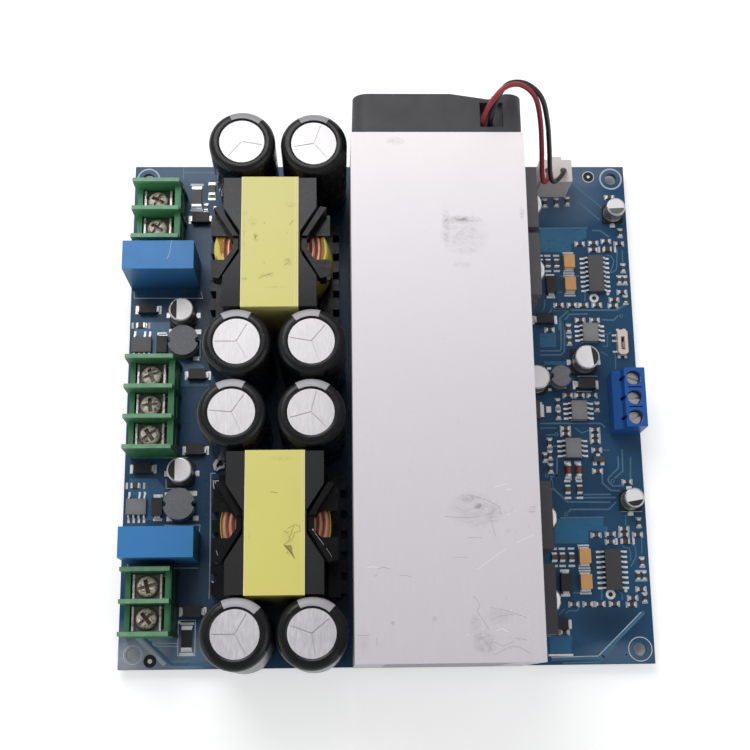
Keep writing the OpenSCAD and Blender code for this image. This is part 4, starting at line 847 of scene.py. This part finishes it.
# Tracks and the edges of the copper
WIDE_TRACKS = [
    [(51, 60.4), (58.8, 53.1), (59.1, 52.5), (59.1, 48.9), (64.1, 48.8)],
    [(51.7, 54.6), (52.7, 54.7), (57.8, 49.9)], [(41.6, 47.5), (54.6, 47.6)],
    [(55.7, 46.9), (57.9, 46.8), (60.2, 45)], [(44, 24.9), (60.9, 24.8), (63.8, 26.7)],
    [(43.2, 24.1), (44, 25.1), (49, 25)], [(45.6, 19.5), (45.9, 22.6), (48.2, 24.6)],
    [(46.8, 19.5), (47.1, 22), (48.5, 23.7), (53.3, 23.8)], [(56.9, 22.2), (60, 22.1), (61.2, 23.3)],
    [(40.4, 13.9), (45.5, 13.9), (45.9, 14.4), (46.2, 22.2)],
    [(40.3, 12.8), (45.8, 12.8), (46.7, 13.9), (47.2, 22.2)],
    [(39.5, -5.2), (54.9, -5.3), (55.6, -5.8), (56.1, -6.5)], [(49.6, -23.5), (56.5, -23.5)],
    [(47.3, -24.3), (57.7, -24.3)], [(41.9, -19.8), (41.9, -21.7), (45.5, -25.3), (56.4, -25.5)],
    [(45.5, -27.9), (46.3, -27.2), (55.8, -27.3), (57.8, -25.4)], [(43.5, -29.3), (54.4, -29.3)],
    [(58.9, -13.8), (58.9, -16.8), (56.2, -19.3), (56.1, -20.2), (57.2, -21.4), (60, -21.4)],
    [(60.1, -12), (59.9, -17.6), (57.7, -19.5)], [(62.1, -14), (61.7, -19.7)],
    [(54.6, -17.9), (54.6, -20.6), (56.6, -22.5), (58.9, -22.6)],
    [(43.7, -13.7), (43.4, -14.2), (43.2, -18.7), (41.7, -18.9), (41.7, -22.3)],
]
FINE_TRACKS = [
    [(41.4, 24.5), (42, 25.6), (42.3, 27.6)],
    [(59, 40), (60.3, 39.7), (61, 38.5), (60.7, 37), (59.9, 35.4)],
    [(62.1, 41.6), (61.7, 36.8), (61.4, 35.8), (59.8, 35)], [(63.4, 41.3), (63.3, 37.7)],
    [(52.9, 29.8), (52.7, 27.3)], [(46.7, 34.2), (51.6, 34.2)], [(45.5, 29.8), (47, 29.7)],
    [(57, 18.7), (57.7, 18.2), (58.2, 18.3), (59.1, 18.9)], [(58.1, 17.8), (58, 15.1), (56.8, 15)],
    [(56.2, 13.6), (57.8, 12.7)], [(59.6, 13.4), (59.9, 12.3), (59.7, 8.9)], [(39.5, -6.4), (43.7, -6.4)],
    [(48.4, -6.4), (50.1, -7.8), (52, -7)], [(40.8, -8.2), (43.1, -8.2)], [(42.4, -11.1), (43.8, -11.1)],
    [(55.1, -12.2), (56.9, -12.2)], [(59.6, -7.5), (64.4, -7.5)], [(60, -28.4), (59.8, -31.6)],
    [(63.6, -34), (63.4, -38.4)], [(58.3, -35.7), (59.1, -36.8), (60.3, -37), (60.6, -38), (60.5, -40.1)],
    [(60.7, -35.6), (61.9, -36.8), (61.9, -39.2), (60.4, -41.6)],
    [(45.7, -47.8), (49.7, -47.9), (49.9, -47.3)], [(52.9, -47), (52.7, -49.6)],
    [(56.5, -47.2), (57.8, -48.1), (57.9, -49.6)], [(42, -53), (43.4, -51.7)],
    [(43.7, -52.8), (44.5, -52.1), (46.4, -52.2), (47, -51.5)],
    [(39.1, -58.3), (40.2, -57.2), (40.9, -57.1)], [(55.4, -60.5), (51.2, -64.5), (42.4, -64.6)],
    [(-52.4, 64.6), (-52.4, 61.5)], [(-52.4, 63.35), (-43.7, 63.35)],
]
tracks.lines(WIDE_TRACKS, 0.42)
tracks.lines(FINE_TRACKS, 0.28)
# The wide supply tracks at the front corners
buses.line([(63, -52.6), (51.5, -63.3), (39.7, -63.6)], 0.95)
buses.line([(-59.1, -57.1), (-52.1, -63.8), (-39.3, -63.8)], 0.75)
# Painted highlights along the edges of those supply tracks
highlights_and_rings.line([(62.3, -52.6), (51.1, -63.05), (39.7, -63.2)], 0.22)
highlights_and_rings.line([(-61, -56.9), (-58.6, -59.3), (-53.7, -63.9)], 0.95)
highlights_and_rings.line([(-58.3, -57.2), (-56.9, -58.7), (-50.6, -58.9)], 0.2)
highlights_and_rings.line([(-57.6, -58), (-56.3, -59.4), (-50.6, -59.6)], 0.2)

# Printed lines
PRINT = [
    [(57.5, 6.7), (57.5, -1.8), (57.4, -7.8)], [(58.8, -24.9), (58.8, -27.9), (64, -27.9), (64, -27.4)],
    [(51.2, 16.1), (55.4, 16.1)], [(47.4, -4.5), (51.4, -4.5)], [(45.3, -14), (49.8, -14.1)],
    [(49.7, 7.1), (54.9, 7.1)], [(49.4, 3.1), (53.2, 3)], [(-52.4, 56.3), (-52.4, 40.8)],
    [(-64.3, 30.3), (-64.2, 28.5), (-46.6, 28.4), (-47, 30.1)],
    [(-47, 17.2), (-46.9, 12.5), (-48.3, 12.5)], [(-63.9, -13.3), (-49.2, -13.4)],
    [(-54.7, -18.8), (-54.6, -21.1), (-49.6, -21.2)], [(-54.8, -30.3), (-46, -30.3), (-46.1, -31.9)],
    [(-63.5, -39.3), (-63.3, -40.7), (-46.1, -40.85)],
    [(-42.4, -17.35), (-43.6, -17.4), (-43.4, -38.9), (-43.4, -48.4)],
    [(-50.7, -53.4), (-46.6, -53.4), (-46.6, -61.8), (-50.7, -61.8), (-50.7, -53.4)],
]
silk.lines(PRINT, PRINT_WIDTH)

# Bare spots: small pads, test points and fiducials
SMALL_PADS = [
    (46, 61.4, 1.2, 0.35), (43.4, 61.4, 1.2, 0.35), (41.9, -1.6, 0.6, 0.8), (42, -62.7, 3, 0.25),
    (-44.75, 60, 0.95, 0.4), (-44.75, 56, 0.95, 0.45), (-46.2, 53.4, 0.35, 0.45), (-43.9, 53.4, 0.35, 0.45),
    (-61, 21.2, 0.3, 0.6), (-56.8, 18.9, 1.15, 0.35), (-50.5, -53.9, 0.3, 0.3),
    (42.5, 9.2, 0.5, 0.3), (42.2, 3.6, 0.7, 0.3), (46, 4.3, 0.7, 0.4),
    (-54.2, -22.6, 0.7, 0.5), (-48, -22.4, 1.1, 0.6), (-53.6, -28.7, 0.7, 0.6), (-47.1, -28.6, 0.7, 0.6),
    (-54.3, 19.6, 0.7, 0.5), (-47.6, 19.4, 0.8, 0.6), (-54, 12.4, 0.7, 0.5), (-47.9, 12.3, 0.8, 0.5),
]
for x, y, half_x, half_y in SMALL_PADS:
    pads.box(x - half_x, y - half_y, x + half_x, y + half_y)
for x, y in ((58.9, 29.3), (58.8, -47.4)):
    silk.disc(x, y, 0.42)
for x, y in ((55.2, 28.1), (55, -48.3)):
    pads.ring(x, y, 1.2, 0.55)
    pits.disc(x, y, 0.55)
VIAS = [
    (62, 23.2), (43.6, -8), (40.6, -18.6), (42.9, -18.6), (57.2, -20.1), (45, -28.4), (52.2, -63),
    (58, -62.8),
]
for x, y in VIAS:
    tracks.ring(x, y, 0.5, 0.24, 20)
    pits.disc(x, y, 0.24, 12)
silk.ring(55.5, 62.1, 1.6, 1.4)
# Fiducials: a dot on a dark disc
for x, y, dark_r, dot_r in ((55.5, 62.1, 1.35, 0.4), (-57.3, -63, 1.55, 0.56)):
    pits.disc(x, y, dark_r, 28)
    fiducial_dots.disc(x, y, dot_r)
# Printed rings round the corner holes
HOLE_INSET = 3.5
HOLE_AT = BOARD_HALF / MM - HOLE_INSET
RINGS = [(-1, 1, 3.0, 2.62), (1, 1, 3.05, 2.62), (-1, -1, 2.3, 2.14), (1, -1, 2.95, 2.77)]
for sx, sy, outer, inner in RINGS:
    layer = silk if sy < 0 else highlights_and_rings
    layer.ring(sx * HOLE_AT, sy * HOLE_AT, outer, inner)

areas.piece("copper_areas", "masked_copper", "board_blue")
tracks.piece("copper_tracks", "masked_track", "board_blue")
buses.piece("supply_tracks", "masked_bus", "board_blue")
highlights_and_rings.piece("supply_track_highlights_and_rings", "bus_highlight_and_ring", "board_blue")
silk.piece("printed_lines", "silkscreen", "header_white")
pads.piece("solder_pads", "tinned_pad", "tinned")
pits.piece("via_holes", "base_black")
fiducial_dots.piece("fiducial_dots", "tinned_pad", "tinned")

# Marks on top of the small can capacitors: the dark segment of the minus side
RIM = 0.42
discs = Flat(CAN_TOP, 0.01)
dark_marks = Flat(CAN_TOP, 0.02)
green_marks = Flat(CAN_TOP, 0.02)


def can_mark(layer, centre, radius, facing, offset):
    """Segment of a disc beyond a chord; facing is the direction of its middle in degrees."""
    half = math.degrees(math.acos(offset))
    turns = [math.radians(facing - half + 2 * half * i / 16) for i in range(17)]
    layer.fill(circle(centre.x, centre.y, radius, turns))


for centre, half in lumps("small_can_capacitors"):
    radius = half.x - RIM
    discs.disc(centre.x, centre.y, radius, 40)
    if centre.x < 0:
        can_mark(dark_marks, centre, radius, 180, 0.4)
    elif centre.x > 60 and centre.y > 0:
        can_mark(green_marks, centre, radius, -87, 0.2)
    elif centre.x > 60:
        can_mark(dark_marks, centre, radius, -80, 0.35)
    elif centre.x > 50:
        can_mark(dark_marks, centre, radius, 7, 0.45)
discs.piece("can_discs", "can_disc", "small_can")
dark_marks.piece("can_marks", "can_mark", "base_black")
green_marks.piece("can_mark_green", "can_mark_green", "small_can")


def column(centre, turn, profile):
    """Points of a profile of radius and height at a turn, in degrees, about a centre."""
    a = math.radians(turn)
    points = [(centre.x + r * math.cos(a), centre.y + r * math.sin(a), z) for r, z in profile]
    return [(x * MM, y * MM, z * MM) for x, y, z in points]


def sheet(verts, faces, columns, looped=False):
    """Faces between neighbouring columns of points; looped closes them round and along each column."""
    start, count, rows = len(verts), len(columns), len(columns[0])
    verts += [point for points in columns for point in points]
    for i in range(count if looped else count - 1):
        a, b = start + i * rows, start + (i + 1) % count * rows
        for j in range(rows if looped else rows - 1):
            k = (j + 1) % rows
            faces.append([b + j, a + j, a + k, b + k])


# Pale minus stripe down each storage capacitor's sleeve
SLEEVE_R = 8.0
SHOULDER_R = 1.7
LIP_INNER, LIP_OUTER = 5.95, 6.3
SKIN = 0.03
# Direction and spread of each stripe in degrees, for the capacitors from the front to the rear
STRIPES = [(80, 68), (82, 65), (87, 62), (93, 52), (92, 55), (100, 52), (90, 60), (82, 65)]
STRIPE_STEPS = 10
STRIPE_FOOT = 0.6


def stripe(verts, faces, centre, half, facing, spread):
    """Thin skin over the sleeve's lip, shoulder and side."""
    cap_top = centre.z + half.z
    profile = [(LIP_INNER, cap_top + SKIN), (LIP_OUTER, cap_top + SKIN)]
    turns = [math.radians(90 - 15 * i) for i in range(1, 7)]
    profile += circle(SLEEVE_R - SHOULDER_R, cap_top - SHOULDER_R, SHOULDER_R + SKIN, turns)
    profile.append((SLEEVE_R + SKIN, centre.z - half.z + STRIPE_FOOT))
    turns = [facing + spread * (k / STRIPE_STEPS - 0.5) for k in range(STRIPE_STEPS + 1)]
    sheet(verts, faces, [column(centre, turn, profile) for turn in turns])


verts, faces = [], []
for (centre, half), (facing, spread) in zip(lumps("capacitor_sleeves"), STRIPES):
    stripe(verts, faces, centre, half, facing, spread)
add(new_mesh("sleeve_stripes", verts, faces, True), "sleeve_stripe")

# Scratches on the heatsink's upper face: dark and pale strokes
DARK_STROKES = [
    [(11, -34.3), (13.2, -34.5), (16, -34.6), (18.5, -34.4)],
    [(17.2, -29.8), (20.5, -30.9), (23, -32.3), (23.2, -34)], [(20.9, -34.5), (21.9, -38.7)],
    [(16.1, -38.9), (18.9, -38.9)], [(13, -43.1), (16, -43.1)], [(29.9, -32.4), (31, -32.4)],
    [(29.3, -33.5), (30.7, -33.4)], [(-3.5, -45.5), (-2.4, -45), (-1, -45.5)],
    [(1.1, -46.8), (2.4, -46.8), (3.6, -47.2)],
    [(16.8, -51.3), (18.1, -53.2), (17.5, -54.6), (18.6, -56.4), (19.8, -58.3)],
    [(20.3, -53.8), (23.5, -54.4), (28, -56)], [(20.2, -56.5), (22.4, -55.5), (25.1, -55.3)],
    [(20.7, -63.6), (24.6, -61.8), (26.2, -62.1), (28.5, -63.4)], [(25.2, -60.2), (27.8, -60.6)],
    [(17.9, -59.9), (18.9, -60.7), (20.5, -62.8)], [(20.8, -61), (22.7, -61.8), (25.1, -60.9)],
    [(-8, -59.3), (-5.5, -59.3)], [(-4, -59.9), (-3.8, -61.5)],
]
PALE_STROKES = [
    [(22, -28.1), (24.8, -27.3)], [(24.5, -28.7), (25.9, -28.4)],
    [(17.8, -45.7), (21.2, -43.3), (24, -41.5)], [(26.3, -40.1), (30.2, -38.5)],
    [(-5.9, -45.2), (-4.7, -44.9), (-3.5, -45.1)], [(21.4, -58.6), (22.5, -58.2), (23.9, -58.9)],
    [(14.9, -59.3), (15.5, -59.5)], [(18.4, -59.4), (19, -59.6)],
]
dark = Flat(SINK_TOP, 0.01).lines(DARK_STROKES, 0.11)
dark.piece("heatsink_scuffs", "scratch_dark", "milled_aluminium")
pale = Flat(SINK_TOP, 0.01).lines(PALE_STROKES, 0.14)
pale.piece("heatsink_scratches", "scratch_light", "milled_aluminium")

# Pale hairline scratch on the rear film capacitor
hairline = [(-52.8, 38.5), (-53.05, 36.9), (-53.15, 35.5), (-53.4, 34.4), (-53.9, 33.5)]
Flat(FILM_TOP, 0.01).lines([hairline], 0.09).piece("film_scratch", "silkscreen", "header_white")

# Painted shade: dark sheets in the gaps beside the clamp plates of the power terminals
GAP_DROP = 1.68
GAP_HALF = 2.4
gap_shade = Flat(CLAMP_TOP - GAP_DROP, 0.02)
for centre, half in lumps("terminal_clamps"):
    low, high = centre.y - GAP_HALF, centre.y + GAP_HALF
    gap_shade.box(centre.x + half.x + 0.06, low, centre.x + half.x + 1.0, high)
    gap_shade.box(centre.x - half.x - 0.38, low, centre.x - half.x - 0.06, high)
gap_shade.piece("terminal_gap_shade", "base_black")

# Creases and nicks of the yellow tape round the cores, their darkness painted shade; and the tape's pale
# edges
CREASES = [
    [(-23.2, -35.4), (-21.9, -34.7), (-21.3, -34.5), (-20.5, -34.9), (-20.3, -36), (-21.6, -36.3),
     (-22, -37.6), (-23.4, -38.6), (-24, -39)], [(-22.1, -35.9), (-22.6, -36.9), (-22.9, -38.1)],
    [(-21.8, -34.9), (-22.3, -36.1)], [(-24, -39), (-22.9, -40.1), (-22.1, -41.3), (-21.6, -42.1)],
    [(-22.4, -39.1), (-22.1, -40.6), (-21.6, -42.1)], [(-23, -36.4), (-24.1, -35.9)],
    [(-23, 36.5), (-22.5, 37.2), (-22.1, 37.7)], [(-29, 36.8), (-28.9, 37.1)],
    [(-23.7, 34.3), (-23.5, 34.4)], [(-29.1, 26.9), (-28.8, 27.1)],
    [(-30.2, 23.2), (-29, 23.8), (-27.4, 24.3), (-26.8, 24.5)],
    [(-24.2, 26.4), (-23.5, 26.9), (-22.9, 27.7)], [(-23.9, 27.6), (-23.1, 28)],
    [(-31.3, 34.3), (-31, 32.9)], [(-30.7, 33.9), (-31.2, 33.2)], [(-27, -27.1), (-25.4, -27.4)],
]
creases = Flat(TAPE_TOP, 0.01).lines(CREASES, 0.13)
creases.fill([(-24, -39.05), (-22.4, -39.1), (-22.2, -40.4), (-21.8, -41.7), (-22.9, -40.3)])
creases.piece("tape_creases", "tape_crease", "core_tape")
edges = Flat(TAPE_TOP, 0.008)
for centre, half in lumps("core_tapes"):
    right = centre.x + half.x
    for start, width in ((centre.x - half.x, 0.16), (right - 0.16, 0.16), (right - 0.85, 0.07)):
        edges.box(start, centre.y - half.y, start + width, centre.y + half.y)
edges.piece("tape_edges", "tape_edge", "core_tape")

# The tape round the rear winding has come loose: it stands off on both sides
SPOOL_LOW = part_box("winding_tapes")[0][2] / MM
SPOOLS = lumps("winding_tapes")
front_spool, rear_spool = SPOOLS[0][0], SPOOLS[-1][0]
TAPE_SKIN = 0.14
TAPE_STEPS, TAPE_ROWS = 96, 6
OPEN_TURN = 34.0


def stand_off(turn, share):
    """How far the rear tape stands off at a turn in degrees; share is 0 at its foot, 1 at its edge."""
    right = max(0.0, 1 - abs((turn + 180) % 360 - 180) / OPEN_TURN)
    left = max(0.0, 1 - abs(turn % 360 - 180) / OPEN_TURN)
    belly = 0.75 + 1.6 * math.sin(math.pi * 0.8 * (1 - share))
    return math.sin(right * math.pi / 2) * belly + math.sin(left * math.pi / 2) * share


def tape_section(centre, half, turn):
    """Closed outline of a band at a turn: up its inner side and down its outer side."""
    inner = []
    for j in range(TAPE_ROWS + 1):
        share = j / TAPE_ROWS
        loose = stand_off(turn, share) if centre.y > 0 else 0.0
        inner.append((half.x - TAPE_SKIN + loose, SPOOL_LOW + (SPOOL_TOP - SPOOL_LOW) * share))
    return inner + [(r + TAPE_SKIN, z) for r, z in reversed(inner)]


verts, faces = [], []
for centre, half in SPOOLS:
    turns = [360 * i / TAPE_STEPS for i in range(TAPE_STEPS)]
    sheet(verts, faces, [column(centre, turn, tape_section(centre, half, turn)) for turn in turns], True)
bands = add(new_mesh("winding_tape_bands", verts, faces, True), "winding_tape")
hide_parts("winding_tapes")


def fold(side, lip, shaded):
    """Folded lip of that tape in one of the bobbin's openings, and its shaded inside."""
    for name, rise, outline, material in (("tape_lip", 0.12, lip, "winding_tape"),
                                          ("tape_inside", 0.05, shaded, "tape_fold_shade")):
        layer = Flat(SPOOL_TOP + rise, 0.05, rear_spool)
        layer.fill(outline)
        layer.piece(name + side, material, "winding_tape")


fold("", [(-12.9, 2.9), (-13.5, 0.8), (-13.5, -1.2), (-12.6, -2.9), (-11.2, -2.8), (-12.1, -0.9),
          (-12.3, 0.9)],
     [(-12.8, 2.9), (-12.4, 0.9), (-12.2, -0.9), (-11.9, -1.5), (-11.2, -0.6), (-11.1, 1.2), (-11.6, 2.9)])

# Painted highlight along the front bobbin's right ridge, where its edge is also worn bare, with a bright dot
# at its start; and a scratch on its left plate
worn = Flat(BOBBIN_TOP, 0.03, front_spool)
worn.line([(8.6, -1.9), (9.8, -3.6), (11.0, -5.2)], 0.06)
worn.line([(11.5, -5.9), (12.8, -7.9)], 0.05)
worn.disc(8.5, -1.75, 0.14)
worn.piece("ridge_glint_and_wear", "silkscreen", "header_white")
PLATE_TOP = SPOOL_TOP + 0.95
scratch = [(-39.4, -39.5), (-39, -40.6), (-37.9, -40.2), (-37.5, -39.2)]
Flat(PLATE_TOP, 0.04).lines([scratch], 0.07).piece("plate_scratch", "silkscreen", "header_white")

# The same folded tape in the rear bobbin's right opening
fold("_right", [(12.75, 2.9), (13.35, 0.4), (13.3, -1.5), (12.9, -2.9), (12.5, -2.9), (12.9, -1),
                (12.85, 0.8), (12.45, 2.9)],
     [(12.5, 2.9), (12.9, 0.6), (12.95, -1), (12.6, -2.9), (11.9, -2.9), (12.15, 0), (11.9, 2.9)])

# Dark sheet on the floor of the wire notch in the fan's top wall, behind the wires: painted shade in the
# notch
NOTCH_FLOOR = 38.5
notch_floor_shade = Flat(NOTCH_FLOOR, 0.5)
notch_floor_shade.box(21.9, 58.8, 25.1, 63.6)
notch_floor_shade.piece("notch_floor_shade", "rotor_plastic", "fan_black")

# Clear glue behind the front bobbin, and pale threads on the bobbin's left rail: glue, partly painted
# highlights on the rail's edges
glue = Flat(BOARD_TOP, 1.3)
glue.line([(-42.3, -16.7), (-42.6, -15.4), (-42, -14.4), (-41.2, -13.9), (-40.5, -14.1), (-40.2, -15)], 0.8)
glue.line([(-42.3, -16.8), (-41.3, -16.2), (-40.4, -16), (-40.2, -15)], 0.6)
glue.piece("glue_bead", "glue", "header_white")
RAIL_TOP = BOBBIN_TOP - 24.9
threads = Flat(RAIL_TOP, 0.12)
threads.line([(-42.4, -20.1), (-42.3, -21.3), (-42.1, -22.5)], 0.2)
threads.line([(-42.1, -20.3), (-41, -20.25)], 0.22)
threads.line([(-42, -20.4), (-41.7, -21.1), (-41.2, -21.4)], 0.18)
threads.line([(-42.3, -44.6), (-41.9, -44.9)], 0.3)
threads.piece("glue_threads_and_glints", "glue", "header_white")


# Floor, lamps and world
FLOOR_HALF = 3.0
FLOOR_GLOW = 0.42
FLOOR_Z = CAD_BOX[0][2] - 0.0001


def floor_mat():
    """Plain pale floor that the camera and mirrors see as near white, with the object's shadow."""
    mat = Surface("floor")
    rays = mat.add("LightPath").outputs
    seen = mat.math("MAXIMUM", rays["Is Camera Ray"], rays["Is Glossy Ray"])
    beside = [mat.math("GREATER_THAN", mat.math("ABSOLUTE", mat.along(axis)), BOARD_HALF) for axis in "XY"]
    seen = mat.times(seen, mat.math("MAXIMUM", *beside))
    glow = mat.add("Emission", Strength=mat.times(seen, FLOOR_GLOW))
    both = mat.add("AddShader")
    mat.put(mat.shader.outputs[0], both.inputs[0])
    mat.put(glow.outputs[0], both.inputs[1])
    mat.put(both.outputs[0], mat.output)
    mat.finish(mat.mix(mat.noise(3, 2), (0.8, 0.8, 0.8), (0.82, 0.82, 0.82)), 0.9, gloss=0.1)


floor_mat()
corners = [(x * FLOOR_HALF, y * FLOOR_HALF, FLOOR_Z) for x, y in ((-1, -1), (1, -1), (1, 1), (-1, 1))]
floor = new_object(new_mesh("floor", corners, [(0, 1, 2, 3)]))
floor.data.materials.append(MATERIALS["floor"])

# The world lights evenly; mirror-like surfaces see it pale at the horizon and dimmer overhead
AMBIENT = 0.43
HORIZON = 0.85
OVERHEAD = 0.3
world = bpy.data.worlds.new("world")
bpy.context.scene.world = world
sky = Tree(world)


def sky_blend(share, low, high):
    """low where share is 0, high where it is 1."""
    return sky.add("MapRange", **{"Value": share, "To Min": low, "To Max": high}).outputs[0]


direction = sky.add("TexCoord").outputs["Generated"]
height = sky.add("SeparateXYZ", Vector=direction).outputs["Z"]
rays = sky.add("LightPath").outputs
strength = sky_blend(rays["Is Glossy Ray"], AMBIENT, sky_blend(height, HORIZON, OVERHEAD))
strength = sky_blend(rays["Is Camera Ray"], strength, 1.0)
strength = sky_blend(rays["Is Transmission Ray"], strength, 1.0)
background = sky.add("Background", Color=(0.97, 0.98, 1.0), Strength=strength)
sky.put(background.outputs[0], sky.add("OutputWorld").inputs[0])


def lamp(name, at, aim, size, power):
    """Square area lamp."""
    data = bpy.data.lights.new(name, "AREA")
    data.size = size
    data.energy = power
    thing = new_object(data)
    thing.location = at
    thing.rotation_euler = (Vector(aim) - Vector(at)).to_track_quat("-Z", "Y").to_euler()


lamp("key", (-0.12, 0.3, 0.42), (0, 0.02, 0), 0.35, 1.5)
lamp("fill", (0.4, -0.2, 0.45), (0, 0, 0), 0.4, 0.56)
lamp("low", (-0.5, -0.25, 0.25), (0, 0, 0.02), 0.3, 0.28)

bpy.context.scene.view_settings.view_transform = "Standard"
